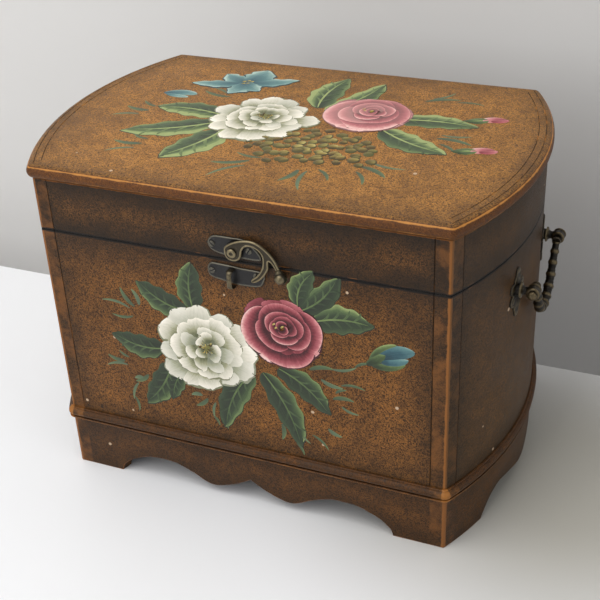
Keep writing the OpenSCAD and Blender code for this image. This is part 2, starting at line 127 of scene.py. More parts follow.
wall_paint, tree, shader = new_material("wall_paint")
# Painted shadow of the box on the wall, darker to its right.
painted_shadow(tree, shader, (0.66, 0.65, 0.635), (0.36, 0.345, 0.33), (0.33, WALL_Y, 0.06), 0.38, 0.6)
shader.inputs["Roughness"].default_value = 0.8
hidden = tree.nodes.new("ShaderNodeBsdfTransparent")
facing = tree.nodes.new("ShaderNodeNewGeometry")
choose = tree.nodes.new("ShaderNodeMixShader")
tree.links.new(facing.outputs["Backfacing"], choose.inputs[0])
tree.links.new(shader.outputs[0], choose.inputs[1])
tree.links.new(hidden.outputs[0], choose.inputs[2])
tree.links.new(choose.outputs[0], tree.nodes["Material Output"].inputs["Surface"])
flat_piece("wall", [(-3, WALL_Y, -0.4), (3, WALL_Y, -0.4), (3, WALL_Y, 2.5), (-3, WALL_Y, 2.5)], wall_paint)


def soft_lamp(name, place, aim, size, watts, colour):
    """A square area lamp at place, turned so that its face points at aim."""
    lamp = bpy.data.lights.new(name, "AREA")
    lamp.shape = "SQUARE"
    lamp.size = size
    lamp.energy = watts
    lamp.color = colour
    thing = bpy.data.objects.new(name, lamp)
    thing.location = place
    away = np.array(place) - np.array(aim)
    thing.rotation_euler = (math.atan2(math.hypot(away[0], away[1]), away[2]), 0,
                            math.atan2(away[1], away[0]) + math.pi / 2)
    bpy.context.scene.collection.objects.link(thing)


soft_lamp("ceiling", (-0.5, -0.7, 1.9), (0, 0, 0.1), 1.6, 26, (1.0, 0.98, 0.95))
soft_lamp("front_fill", (-0.9, -1.9, 0.9), (0, 0, 0.12), 1.4, 14, (1.0, 0.98, 0.96))
soft_lamp("right_fill", (1.9, -0.6, 1.0), (0, 0, 0.12), 1.2, 6, (0.95, 0.97, 1.0))
world = bpy.data.worlds.new("room")
world.use_nodes = True
world.node_tree.nodes["Background"].inputs["Color"].default_value = (0.9, 0.92, 0.95, 1)
world.node_tree.nodes["Background"].inputs["Strength"].default_value = 0.45
bpy.context.scene.world = world

# The walls: thin boards painted brown, crackled and toned dark towards every corner.
# Front and back are flat, the two ends bow outwards, and all corners are mitred and eased.
M = 0.001
front_low, front_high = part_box("front_board")
HALF_L, HALF_D = front_high.x, -front_low.y
BASE_TOP, SEAM = front_low.z, front_high.z
END_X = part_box("right_end_board")[1].x
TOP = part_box("lid_panel")[1].z
PANEL_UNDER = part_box("lid_panel")[0].z
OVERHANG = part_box("lid_panel")[1].x - END_X
WALL = 7 * M
BOW = END_X - HALF_L
END_R = (BOW * BOW + HALF_D * HALF_D) / (2 * BOW)
ARC_X = END_R - END_X
CORNER_EASE = 1.6 * M
EASE = 0.7 * M


def corner_x(off):
    """Where the straight side and the bowed end meet on the plan grown by off."""
    return np.sqrt((END_R + off) ** 2 - (HALF_D + off) ** 2) - ARC_X


def eased_corner(off, steps):
    """Half of a corner rounding from each side: centre, radius and the share of the turn."""
    centre_off = np.minimum(off, -CORNER_EASE)
    return centre_off, off - centre_off, np.linspace(1 / steps, 1, steps)


def side_path(kind, off, shares, steps=3):
    """Points of one side grown by each value of off, as arrays (stations, offs).
    A straight side runs at share times the corner's x. A bowed side runs on an arc about
    (-ARC_X, 0) at share times the corner's angle. Each end then turns to the mitre on a small
    arc about the corner of the plan shrunk by the easing."""
    off = np.asarray(off, float)[None, :]
    q, rho, turn = eased_corner(off, steps)
    cx, cy = corner_x(q), HALF_D + q
    a = np.arctan2(cy, cx + ARC_X)
    turn = turn[:, None]
    shares = np.asarray(shares, float)[:, None]
    if kind == "flat":
        middle = np.stack([shares * cx, -(HALF_D + off) + 0 * shares], -1)
        mitre = -(a + np.pi / 2) / 2
        angle = -np.pi / 2 + (mitre + np.pi / 2) * turn
        after = np.stack([cx + rho * np.cos(angle), -cy + rho * np.sin(angle)], -1)
        before = after[::-1] * np.array([-1, 1])
    else:
        angle = shares * a
        middle = np.stack([-ARC_X + (END_R + off) * np.cos(angle), (END_R + off) * np.sin(angle)], -1)
        angle = a + ((a + np.pi / 2) / 2 - a) * turn
        after = np.stack([cx + rho * np.cos(angle), cy + rho * np.sin(angle)], -1)
        before = after[::-1] * np.array([1, -1])
    return np.concatenate([before, middle, after], 0)


SIDES = {"front": ("flat", 1), "right": ("bowed", 1), "back": ("flat", -1), "left": ("bowed", -1)}
FLAT_HALF = float(corner_x(np.array(-CORNER_EASE)))
BOWED_HALF = float(END_R * math.asin(HALF_D / END_R))
LINE_IN, LINE_HALF, LINE_DEEP = 9.5 * M, 0.45 * M, 0.45 * M


def stations(kind, extra=()):
    """Shares from -1 to 1 along a side, close together near the corners and at the scribed line,
    with extra ones at given distances from the middle. Half the side's length comes after them."""
    half = FLAT_HALF if kind == "flat" else BOWED_HALF
    near = np.array([0, 0.6, 1.5, 3, 5, 7, 9.05, 9.3, 9.5, 9.7, 9.95, 12, 15, 19, 24, 30, 37]) * M
    rest = np.linspace(37 * M, half, 13)[1:]
    right_half = np.concatenate([half - near, half - rest])
    both = np.concatenate([-right_half, right_half, np.asarray(extra, float)])
    return np.unique(np.round(np.clip(both / half, -1, 1), 6)), half


def build_piece(name, verts, faces, materials, body, replaces=(), face_material=None,
                values=None, sharp=38.0, weld=False):
    mesh = bpy.data.meshes.new(name)
    mesh.from_pydata(np.asarray(verts, float).reshape(-1, 3).tolist(), [], [tuple(f) for f in faces])
    for material in materials:
        mesh.materials.append(material)
    if face_material is not None:
        mesh.polygons.foreach_set("material_index", np.asarray(face_material, np.int32))
    for key, value in (values or {}).items():
        layer = mesh.attributes.new(key, "FLOAT", "POINT")
        layer.data.foreach_set("value", np.asarray(value, np.float32).ravel())
    if weld:
        work = bmesh.new()
        work.from_mesh(mesh)
        bmesh.ops.remove_doubles(work, verts=work.verts, dist=1e-7)
        work.to_mesh(mesh)
        work.free()
    mesh.polygons.foreach_set("use_smooth", np.ones(len(mesh.polygons), bool))
    mesh.set_sharp_from_angle(angle=math.radians(sharp))
    mesh.update()
    thing = bpy.data.objects.new(name, mesh)
    bpy.context.scene.collection.objects.link(thing)
    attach(thing, body)
    if replaces:
        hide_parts(*replaces)
    return thing


def grid_quads(rows, columns, round_rows=False, round_columns=True):
    """Quads of a grid of points that may close on itself either way."""
    i, j = np.meshgrid(np.arange(rows - (not round_rows)), np.arange(columns - (not round_columns)),
                       indexing="ij")
    k, n = (j + 1) % columns, (i + 1) % rows
    quads = np.stack([i * columns + j, i * columns + k, n * columns + k, n * columns + j], -1)
    return quads.reshape(-1, 4)


def loop_faces(rows, columns):
    """Quads round a closed section carried along rows, with a flat cap on each end."""
    first = list(range(columns))
    last = list(range((rows - 1) * columns, rows * columns))
    return grid_quads(rows, columns).tolist() + [first[::-1], last]


def spun_faces(rows, columns):
    """Quads round rings of points, closed by fans to two more points, one at either end."""
    j = np.arange(columns)
    k = (j + 1) % columns
    first = np.full(columns, rows * columns)
    top = (rows - 1) * columns
    return (grid_quads(rows, columns).tolist() + np.stack([first, k, j], -1).tolist()
            + np.stack([first + 1, top + j, top + k], -1).tolist())


def rounded_section(outer, inner, low, high, ease, step):
    """Section of a board as (off, z) round its edge: up the inner face, then down the outer one.
    The four arrises are quarter circles of radius ease, and the faces are cut every step."""
    turn = np.radians([0, 30, 60, 90])
    near = np.array([1.2, 2.6, 4.5, 7, 10, 14, 18, 23]) * M
    span = high - low - 2 * ease
    inside = np.linspace(0, 1, 4)[1:-1] * span + low + ease
    edges = near[near < span / 2]
    middle = np.arange(edges[-1] + step, span - edges[-1], step) if span > 2 * (edges[-1] + step) else []
    marks = np.unique(np.concatenate([edges, middle, span - edges]).round(7))
    outside = high - ease - marks
    short, long = ease * (1 - np.sin(turn)), ease * (1 - np.cos(turn))
    parts = [(inner + short, low + long), (inner + 0 * inside, inside), (inner + long, high - short),
             (outer - short, high - long), (outer + 0 * outside, outside), (outer - long, low + short)]
    return np.concatenate([np.stack(part, -1) for part in parts], 0)


def side_piece(name, side, section, low, high, materials, body, replaces, lined=False,
               extra=(), sole=None, outer=0.0):
    """A closed section carried along one side of the plan, mitred at both corners.
    Its point values are edge, the distance to the nearest arris of the outer face, rub, the same
    but larger at the seam of the lid, corner, the distance to the nearest mitre, and line, which is
    1 in the scribed line and 2 in the seam, where it marks the painted shade of the gap. outer is the
    off of the outer face, extra holds more stations as distances from the middle, and sole gives the
    height of the bottom edge there."""
    kind, way = SIDES[side]
    shares, half = stations(kind, extra)
    off, z = section[:, 0], section[:, 1]
    xy = side_path(kind, off, shares) * way
    steps = (len(xy) - len(shares)) // 2
    along = np.concatenate([[-1.0] * steps, shares, [1.0] * steps]) * half
    from_corner = half - np.abs(along)
    heights = np.repeat(z[None, :], len(xy), 0)
    if sole is not None:
        bottom = sole(along)[:, None]
        heights = low + bottom + (z[None, :] - low) * (high - low - bottom) / (high - low)
    groove = np.zeros_like(heights)
    if lined:
        groove = np.clip(1 - np.abs(from_corner - LINE_IN) / LINE_HALF, 0, 1)[:, None]
        groove = groove * (off[None, :] > outer - 0.1 * M)
        shift = side_path(kind, off - LINE_DEEP, shares) * way
        xy = xy * (1 - groove[..., None]) + shift * groove[..., None]
    verts = np.concatenate([xy, heights[..., None]], -1)
    edge = np.minimum(np.minimum(z - low, high - z)[None, :], from_corner[:, None])
    edge = np.where(off[None, :] > outer - 2 * M, np.maximum(edge, 0), 0.02)
    to_seam = np.abs(z - SEAM)[None, :] + 0 * edge
    kept = (0.7 + np.clip(xy[..., 0] / HALF_L + 0.9, 0, 1)) * M
    rub = np.where(to_seam < edge + 0.01 * M, edge + kept, edge)
    rub = np.minimum(rub, np.maximum(from_corner[:, None], 0) + 0 * edge)
    # line is 2 on the eased arrises of the seam: painted shade for the gap between lid and case.
    line = np.maximum(groove, 2.0 * (to_seam < EASE * 1.01) * (off[None, :] > outer - 2 * M))
    columns = len(section)
    inner_column = (off < outer - 3 * M) & (np.roll(off, -1) < outer - 3 * M)
    slots = np.tile(inner_column.astype(int), len(xy) - 1).tolist() + [0, 0]
    return build_piece(name, verts, loop_faces(len(xy), columns), materials, body, replaces,
                       face_material=slots,
                       values={"edge": edge, "rub": rub, "line": line,
                               "corner": np.broadcast_to(from_corner[:, None], edge.shape)}, weld=True)


def node_group(name, inputs, outputs):
    """A shader node group: a number makes a float input, three numbers a vector, four a colour."""
    group = bpy.data.node_groups.new(name, "ShaderNodeTree")
    for label, value in inputs.items():
        kind = {0: "Float", 3: "Vector", 4: "Color"}[len(value) if isinstance(value, tuple) else 0]
        socket = group.interface.new_socket(label, in_out="INPUT", socket_type="NodeSocket" + kind)
        socket.default_value = value
    for label, kind in outputs.items():
        group.interface.new_socket(label, in_out="OUTPUT", socket_type="NodeSocket" + kind)
    return group, group.nodes.new("NodeGroupInput").outputs, group.nodes.new("NodeGroupOutput")


class Wiring:
    """Short ways to place and feed the nodes of one tree."""

    def __init__(self, tree):
        self.tree = tree

    def feed(self, value, socket):
        """Joins an output to the socket, or sets it to a number, a vector or a colour."""
        if isinstance(value, bpy.types.NodeSocket):
            self.tree.links.new(value, socket)
        elif isinstance(value, tuple) and len(value) < len(socket.default_value):
            socket.default_value = (*value, 1)
        else:
            socket.default_value = value

    def into(self, node, **values):
        """Feeds the named sockets of a node. An underscore stands for a space."""
        for key, value in values.items():
            self.feed(value, node.inputs[key.replace("_", " ")])
        return node

    def noise(self, at, scale, detail, rough, distortion=0.0):
        node = self.tree.nodes.new("ShaderNodeTexNoise")
        self.into(node, Vector=at, Scale=scale, Detail=detail, Roughness=rough, Distortion=distortion)
        return node.outputs["Fac"]

    def cells(self, at, scale, output="Distance"):
        node = self.tree.nodes.new("ShaderNodeTexVoronoi")
        return self.into(node, Vector=at, Scale=scale).outputs[output]

    def math(self, kind, *values, clamp=False):
        node = self.tree.nodes.new("ShaderNodeMath")
        node.operation = kind
        node.use_clamp = clamp
        for socket, value in zip(node.inputs, values):
            self.feed(value, socket)
        return node.outputs[0]

    def times(self, a, b, clamp=False):
        return self.math("MULTIPLY", a, b, clamp=clamp)

    def times_plus(self, a, b, c):
        return self.math("MULTIPLY_ADD", a, b, c)

    def sway(self, value, amount, base):
        """base pushed both ways by amount, as value wavers about a half."""
        return self.times_plus(self.math("SUBTRACT", value, 0.5), amount, base)

    def band(self, value, low, high, to_low=0.0, to_high=1.0):
        """Smooth step of value from low to high."""
        node = self.tree.nodes.new("ShaderNodeMapRange")
        node.interpolation_type = "SMOOTHSTEP"
        self.into(node, Value=value, From_Min=low, From_Max=high, To_Min=to_low, To_Max=to_high)
        return node.outputs[0]

    def mix(self, share, a, b, kind="MIX"):
        node = self.tree.nodes.new("ShaderNodeMix")
        node.data_type = "RGBA"
        node.blend_type = kind
        for socket, value in zip((node.inputs[0], node.inputs[6], node.inputs[7]), (share, a, b)):
            self.feed(value, socket)
        return node.outputs[2]

    def value(self, name):
        node = self.tree.nodes.new("ShaderNodeAttribute")
        node.attribute_name = name
        return node.outputs["Fac"]

    def place(self):
        return self.tree.nodes.new("ShaderNodeTexCoord").outputs["Object"]

    def bump(self, height, strength, distance, shader):
        node = self.tree.nodes.new("ShaderNodeBump")
        self.into(node, Height=height, Strength=strength, Distance=distance)
        self.feed(node.outputs[0], shader.inputs["Normal"])

    def group(self, group, **values):
        node = self.tree.nodes.new("ShaderNodeGroup")
        node.node_tree = group
        return self.into(node, **values)


def linear(r, g, b):
    """Linear colour of a paint chip given as plain 0 to 255 shades."""
    c = np.array([r, g, b]) / 255.0
    return tuple(float(v) for v in np.where(c < 0.04045, c / 12.92, ((c + 0.055) / 1.055) ** 2.4))


def crackle_group():
    """Crackled two-coat paint: a dark ground with worm-like squiggles of a brighter coat in uneven
    patches, a dark antique glaze near edges whose amount is raised where it also serves as painted
    shade, rubbed arrises and corners, dark scribed lines, a near-black painted shade in the seam of
    the lid and small pale nicks. Edge, Rub, Corner and Line are the point values of side_piece, and
    Face has a 0 across the board, so that nicks lie flat on it."""
    black = (0, 0, 0, 1)
    group, given, outside = node_group(
        "crackled_paint",
        {"Place": (0, 0, 0), "Face": (1, 1, 1), "Edge": 0.02, "Rub": 0.02, "Corner": 0.05, "Line": 0.0,
         "Ground": black, "Squiggle": black, "Rubbed": black, "Amount": 0.5, "Wash": 0.6},
        {"Color": "Color", "Height": "Float", "Roughness": "Float"})
    w = Wiring(group)
    at, line, bare = given["Place"], given["Line"], given["Rubbed"]
    worm = w.math("ABSOLUTE", w.math("SUBTRACT", w.noise(at, 560, 2, 0.6, 0.9), 0.5))
    squiggle = w.band(worm, 0.085, 0.015)
    grain = w.band(w.noise(at, 900, 2, 0.6), 0.42, 0.62)
    patch = w.noise(at, 22, 4, 0.62)
    cloud = w.band(w.noise(at, 95, 3, 0.6), 0.3, 0.68, 0.62, 1.05)
    dots = w.times(w.times_plus(grain, 0.45, squiggle), cloud)
    dots = w.times(dots, w.band(patch, 0.3, 0.7, 0.75, 1.1))
    dots = w.times(dots, given["Amount"], clamp=True)
    colour = w.mix(dots, given["Ground"], given["Squiggle"])
    shade = w.times_plus(w.band(w.noise(at, 8, 3, 0.55), 0.3, 0.7), 0.3, 0.8)
    colour = w.mix(1.0, colour, w.mix(shade, (0, 0, 0), (1, 1, 1)), "MULTIPLY")
    ragged = w.sway(w.noise(at, 40, 4, 0.65), 0.025, given["Edge"])
    # Dark glaze towards the edges; where its amount is raised, as on the lid rails, it is also painted shade.
    wash_and_shade = w.times(w.band(ragged, 0.034, 0.0), given["Wash"])
    colour = w.mix(wash_and_shade, colour, linear(27, 20, 12))
    worn = w.band(w.noise(at, 55, 4, 0.65), 0.42, 0.66)
    strip = w.times(w.band(given["Corner"], 0.0098, 0.0086, 0, 0.5), worn, clamp=True)
    colour = w.mix(strip, colour, bare)
    streak = w.sway(w.noise(at, 130, 4, 0.7), 0.0022, given["Rub"])
    colour = w.mix(w.band(streak, 0.001, 0.0002), colour, bare)
    scribe = w.mix(w.band(w.noise(at, 60, 3, 0.6), 0.5, 0.7), linear(30, 21, 12), bare)
    colour = w.mix(w.band(line, 0.1, 0.8, 0, 0.85), colour, scribe)
    # Near-black painted shade in the seam gap, where line is 2.
    colour = w.mix(w.band(line, 0.9, 1.7), colour, linear(13, 9, 6))
    flat = group.nodes.new("ShaderNodeVectorMath")
    flat.operation = "MULTIPLY"
    w.feed(at, flat.inputs[0])
    w.feed(given["Face"], flat.inputs[1])
    chance = w.cells(flat.outputs[0], 42, "Color")
    bent = w.times_plus(w.noise(at, 420, 2, 0.5), 0.03, w.cells(flat.outputs[0], 42))
    chip = w.times(w.band(bent, 0.078, 0.062), w.band(chance, 0.5, 0.52))
    w.into(outside, Color=w.mix(chip, colour, linear(190, 164, 136)),
           Height=w.math("SUBTRACT", w.times(squiggle, 0.7), w.times(chip, 1.5)),
           Roughness=w.times_plus(squiggle, 0.1, w.band(patch, 0.2, 0.8, 0.36, 0.48)))
    return group


CRACKLE = crackle_group()


def crackled(name, ground, squiggle, rubbed, amount, wash_and_shade, face=(1, 0, 1)):
    """A crackled paint in its own colours, varnished to a low satin."""
    material, tree, shader = new_material(name)
    w = Wiring(tree)
    paint = w.group(CRACKLE, Place=w.place(), Face=face, Edge=w.value("edge"), Rub=w.value("rub"),
                    Corner=w.value("corner"), Line=w.value("line"), Ground=linear(*ground),
                    Squiggle=linear(*squiggle), Rubbed=linear(*rubbed), Amount=amount, Wash=wash_and_shade)
    w.into(shader, Base_Color=paint.outputs["Color"], Roughness=paint.outputs["Roughness"],
           Specular_IOR_Level=0.2)
    w.bump(paint.outputs["Height"], 0.4, 0.0002, shader)
    return material


def inside_paint():
    """Thin dark brown stain over the raw board, with long soft grain."""
    material, tree, shader = new_material("inside_stain")
    w = Wiring(tree)
    stretch = tree.nodes.new("ShaderNodeMapping")
    w.into(stretch, Vector=w.place(), Scale=(6, 6, 60))
    grain = w.noise(stretch.outputs[0], 4, 5, 0.6, 0.4)
    fleck = w.noise(w.place(), 420, 2, 0.6)
    colour = w.mix(w.band(grain, 0.3, 0.7), linear(46, 33, 24), linear(84, 60, 42))
    colour = w.mix(w.band(fleck, 0.6, 0.75, 0, 0.5), colour, linear(28, 21, 17))
    w.into(shader, Base_Color=colour, Roughness=w.band(fleck, 0.2, 0.8, 0.6, 0.8))
    w.bump(grain, 0.25, 0.0004, shader)
    return material


def walls(nodes, flat_paint, low, high, step, body):
    """The four boards of the plan between two heights. All but the back one are scribed."""
    for side, node in zip(SIDES, nodes):
        flat = SIDES[side][0] == "flat"
        side_piece(node + "_painted", side, rounded_section(0.0, -WALL, low, high, EASE, step), low, high,
                   [flat_paint if flat else END_PAINT, INSIDE], body,
                   [node], lined=side != "back")


INSIDE = inside_paint()
FRONT_PAINT = crackled("front_crackle", (52, 33, 16), (148, 98, 46), (136, 86, 40), 0.82, 0.7)
END_PAINT = crackled("end_crackle", (52, 36, 20), (108, 76, 42), (112, 74, 38), 0.78, 0.6, face=(0, 1, 1))
walls(("front_board", "right_end_board", "back_board", "left_end_board"), FRONT_PAINT, BASE_TOP, SEAM,
      14 * M, "case")

# The lid rails: the same boards cut off above the seam, so their paint runs on from the walls.
# Their paint is darker and its antique glaze heavier: partly the finish, partly painted shade under the
# overhang of the top.
RAIL_SHADED_PAINT = crackled("rail_shaded_crackle", (42, 28, 14), (130, 86, 40), (130, 82, 38), 0.78, 0.85)
walls(("lid_front_rail", "lid_right_rail", "lid_back_rail", "lid_left_rail"), RAIL_SHADED_PAINT, SEAM,
      PANEL_UNDER, 12 * M, "lid")

# The base moulding: a worn orange-brown bead between two small steps, glued round the walls.
TRIM_H, TRIM_OUT = 9 * M, 3.8 * M
MOULDING_PAINT = crackled("moulding_crackle", (52, 33, 16), (116, 72, 30), (150, 98, 46), 0.6, 0.2)


def trim_section():
    """Inner face, then down the outer side: top step, bead as a circle arc, bottom fillet."""
    r = 0.36 * TRIM_H
    centre = np.array([TRIM_OUT - r, BASE_TOP + 0.52 * TRIM_H])
    turn = np.radians(np.linspace(78, -78, 13))
    bead = centre + r * np.stack([np.cos(turn), np.sin(turn)], -1)
    step = 0.4 * TRIM_OUT
    top = [(0, BASE_TOP + 0.3 * M), (0, BASE_TOP + TRIM_H), (step - 0.4 * M, BASE_TOP + TRIM_H),
           (step, BASE_TOP + TRIM_H - 0.4 * M), (step, bead[0][1])]
    foot = TRIM_OUT - 0.6 * M
    bottom = [(foot, bead[-1][1]), (foot, BASE_TOP + 0.5 * M), (foot - 0.4 * M, BASE_TOP), (0, BASE_TOP)]
    return np.concatenate([top, bead, bottom], 0)


for side in SIDES:
    side_piece(f"{side}_moulding_painted", side, trim_section(), BASE_TOP, BASE_TOP + TRIM_H,
               [MOULDING_PAINT, MOULDING_PAINT], "case", [f"{side}_moulding"],
               outer=TRIM_OUT)


# The skirt: four boards under the moulding, sawn to scallops that leave a foot at each corner.
def spline(before, start, stop, after, n):
    """Cubic stretches in n steps from each start to its stop. Each leaves with half the step
    between its neighbours, as is usual for a drawn curve."""
    t = np.linspace(0, 1, n, endpoint=False)[:, None, None]
    curve = 0.5 * (2 * start + (stop - before) * t + (2 * before - 5 * start + 4 * stop - after) * t ** 2
                   + (3 * start - before - 3 * stop + after) * t ** 3)
    return curve.transpose(1, 0, 2).reshape(-1, start.shape[1])


def through(points, n):
    """Smooth curve through the points, with n steps between each two."""
    p = np.asarray(points, float)
    k = np.arange(len(p) - 1)
    before, after = p[np.maximum(k - 1, 0)], p[np.minimum(k + 2, len(p) - 1)]
    return np.concatenate([spline(before, p[:-1], p[1:], after, n), p[-1:]], 0)


FRONT_SCALLOP = [(0, 20), (6.5, 16), (13, 12.3), (24, 8), (31, 7), (37.7, 9.1), (45.5, 13.6), (55, 17.6),
                 (61.5, 19.7), (70, 20.3), (82.6, 19.2), (91.6, 15.8), (99, 12), (106, 5.6), (107.9, 0)]
END_SCALLOP = [(0, 5), (10, 6.6), (25, 11.6), (36, 14.7), (48, 17.3), (55, 16.3), (62, 13), (68, 7.3),
               (73.6, 0)]
SKIRT_OUT, SKIRT_T = 0.4 * M, 8 * M
SKIRT_PAINT = crackled("skirt_crackle", (54, 35, 18), (122, 78, 34), (132, 84, 42), 0.7, 0.5)
for side in SIDES:
    kind = SIDES[side][0]
    line = through(FRONT_SCALLOP if kind == "flat" else END_SCALLOP, 5) * M
    if kind == "bowed":
        line[:, 0] = END_R * np.arcsin(np.clip(line[:, 0] / END_R, -1, 1))

    def sole(along, line=line):
        return np.interp(np.abs(along), line[:, 0], np.maximum(line[:, 1], 0), right=0.0)

    extra = np.concatenate([line[::2, 0], -line[::2, 0]])
    section = rounded_section(SKIRT_OUT, SKIRT_OUT - SKIRT_T, 0.0, BASE_TOP, 0.6 * M, 9 * M)
    side_piece(f"{side}_skirt_painted", side, section, 0.0, BASE_TOP, [SKIRT_PAINT, INSIDE], "case",
               [f"{side}_skirt"], extra=extra, sole=sole, outer=SKIRT_OUT)
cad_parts["bottom_board"].data.materials.clear()
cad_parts["bottom_board"].data.materials.append(INSIDE)

# The lid's top: one thick panel with a full round edge, painted tan and scribed round its ends.
TOP_PAINT = crackled("top_crackle", (86, 56, 26), (190, 134, 66), (192, 128, 54), 0.85, 0.45, face=(1, 1, 0))
NOSE_PAINT = crackled("nose_crackle", (76, 44, 18), (128, 78, 30), (178, 120, 56), 0.5, 0.0)


def panel_piece():
    """Rings of the plan from under the panel, round its half-round edge and in over the top.
    A ring is the four sides of the plan in turn; the last ring on each face is closed flat. The
    paint rubs along the lines where the round edge meets the top and turns under."""
    r = (TOP - PANEL_UNDER) / 2
    turn = np.radians(np.linspace(-90, 90, 17))
    nose = np.stack([OVERHANG - r + r * np.cos(turn), PANEL_UNDER + r + r * np.sin(turn)], -1)
    lines = [5.5 * M, 10.5 * M]
    cut = sorted(g + near * M for g in lines for near in (-0.45, -0.2, 0, 0.2, 0.45))
    inset = np.concatenate([cut, np.array([13, 16, 20, 26, 34, 46, 60, 76, 92]) * M])
    over = np.stack([OVERHANG - inset, np.full(len(inset), TOP)], -1)
    under = np.stack([OVERHANG - np.array([92, 46, 20, 9]) * M, np.full(4, PANEL_UNDER)], -1)
    rings = np.concatenate([under, nose, over], 0)
    loops, at_end = [], []
    for kind, way in SIDES.values():
        path = side_path(kind, rings[:, 0], stations(kind)[0]) * way
        loops.append(path[:-1])
        at_end += [kind == "bowed"] * (len(path) - 1)
    plan = np.concatenate(loops, 0)
    depth = sum(np.clip(1 - np.abs(OVERHANG - rings[:, 0] - g) / LINE_HALF, 0, 1) for g in lines)
    depth = depth * (np.arange(len(rings)) >= len(under) + len(nose))
    groove = depth[None, :] * np.array(at_end, float)[:, None]
    z = rings[None, :, 1] - 0.4 * M * groove
    verts = np.concatenate([plan, z[..., None]], -1).transpose(1, 0, 2)
    rows, columns = verts.shape[:2]
    walk = np.concatenate([[0], np.cumsum(np.hypot(*np.diff(rings, axis=0).T))])
    arris, below = walk[len(under) + 12], walk[len(under) + 5]
    rub = np.minimum(np.abs(walk - arris) * np.where(walk > arris, 1.6, 1.0), np.abs(walk - below) + 0.5 * M)
    edge = np.where(walk > arris, walk - arris + 6 * M, 0.03)
    row = np.arange(rows - 1)
    on_nose = (row >= len(under)) & (row < len(under) + 13)
    paint = np.where(row < len(under) - 1, 2, np.where(on_nose, 1, 0))
    return build_piece("lid_top_painted", verts, loop_faces(rows, columns), [TOP_PAINT, NOSE_PAINT, INSIDE],
                       "lid", ["lid_panel"], np.repeat(paint, columns).tolist() + [2, 0],
                       values={"edge": np.repeat(edge, columns), "rub": np.repeat(rub, columns),
                               "line": groove.T, "corner": np.full(rows * columns, 0.05)}, weld=True)


panel_piece()

# The painted spray: every petal and leaf is one thick brush stroke of paint, laid over the last.
# A stroke is a low blade that swells in its middle and sinks into the board round its edge.
# Heights are in millimetres, and each next layer lies LAYER higher.
STROKE_SINK = 0.06
LAYER = 0.05


def blade(base, tip, bend, width, round_end, lean, rows=15, columns=9, rise=0.25, swell=0.35, layer=0,
          light=(0.0, 1.0, 0.0, 0.0), tint=0.0, ruffle=0.0, seed=0.0):
    """A stroke from base to tip in millimetres on a flat face, as (across, up, height).
    Its spine is a quadratic curve pushed sideways by bend. Its half width at share v of the length
    is width times (1 - |2 v^lean - 1|^round_end)^(1/round_end). Its paint swells by 1 - u^2 over
    the width and rises along v. light is the tone at the base and the tip, then what is added
    across the stroke and at both its edges."""
    u = np.linspace(-1, 1, columns)[None, :]
    v = (0.5 - 0.5 * np.cos(np.pi * np.linspace(0.02, 0.985, rows)))[:, None]
    base, tip = np.array(base, float), np.array(tip, float)
    run = tip - base
    length = np.hypot(*run)
    ahead = run / length
    left = np.array([-ahead[1], ahead[0]])
    half = width * (1 - np.abs(2 * v ** lean - 1) ** round_end) ** (1 / round_end)
    wave = 1 + ruffle * np.sin(v * 23 + seed * 7) * np.abs(u) ** 2
    notch = -ruffle * length * np.cos(u * 5.5 + seed * 5) * v ** 5 * 0.4
    side = bend * 4 * v * (1 - v) + half * u * wave
    along = v * length + notch - 0.10 * half * u ** 2 * v
    spot = base + along[..., None] * ahead + side[..., None] * left
    height = layer * LAYER + rise * v * (0.4 + 0.6 * (1 - u ** 2))
    height = height + swell * (1 - u ** 2) * np.sin(np.pi * v) ** 0.5
    grid = np.concatenate([spot, height[..., None]], -1)
    tone = light[0] + (light[1] - light[0]) * v + light[2] * u + light[3] * np.abs(u) ** 1.7
    return grid, np.clip(tone, 0, 1), u + 0 * v + seed, tint + 0 * grid[..., 0]


def crescent(centre, radius, width, start, stop, squash, layer, light, tint, seed, rows=21, columns=9):
    """A cupped petal edge seen from above: a stroke bent round centre from angle start to stop.
    Its tone goes from its inner side to its lit outer rim as the share across to the power 1.7."""
    u = np.linspace(-1, 1, columns)[None, :]
    v = np.linspace(0.02, 0.98, rows)[:, None]
    half = 0.5 * width * np.sin(np.pi * v) ** 0.5 * (1 + 0.06 * np.sin(v * 9 + seed * 5))
    angle = np.radians(start + (stop - start) * v)
    r = radius + half * (u + 0.35)
    spot = np.stack([centre[0] + r * np.cos(angle), centre[1] + r * np.sin(angle) * squash], -1)
    height = layer * LAYER + 0.25 * (u + 1) / 2 + 0.4 * (1 - u ** 2) * np.sin(np.pi * v) ** 0.5
    grid = np.concatenate([spot, (height + 0 * v)[..., None]], -1)
    tone = light[0] + (light[1] - light[0]) * ((u + 1) / 2) ** 1.7 - 0.3 * np.abs(2 * v - 1) ** 3
    return grid[::-1], np.clip(tone, 0, 1)[::-1], (v * 3 + 0 * u + seed)[::-1], tint + 0 * grid[..., 0]


def shadowed(stroke, tone, spread=1.05, drop=0.5):
    """The stroke with a slightly larger dark stroke under it, as a painter shades between petals."""
    grid, light, grain, hue = stroke
    middle = grid.reshape(-1, 3).mean(0)
    under = middle + (grid - middle) * np.array([spread, spread, 0.6]) + np.array([drop * 0.3, -drop, -0.06])
    return [(under, light * 0 + tone, grain, hue), stroke]


def on_face(grid, face):
    """Millimetres on a face to the box's frame: front lies on the front board, top on the lid."""
    a, b, h = grid[..., 0] * M, grid[..., 1] * M, np.maximum(grid[..., 2], -STROKE_SINK) * M
    if face == "front":
        return np.stack([a, -HALF_D - h, b], -1)
    return np.stack([a, b, TOP + h], -1)


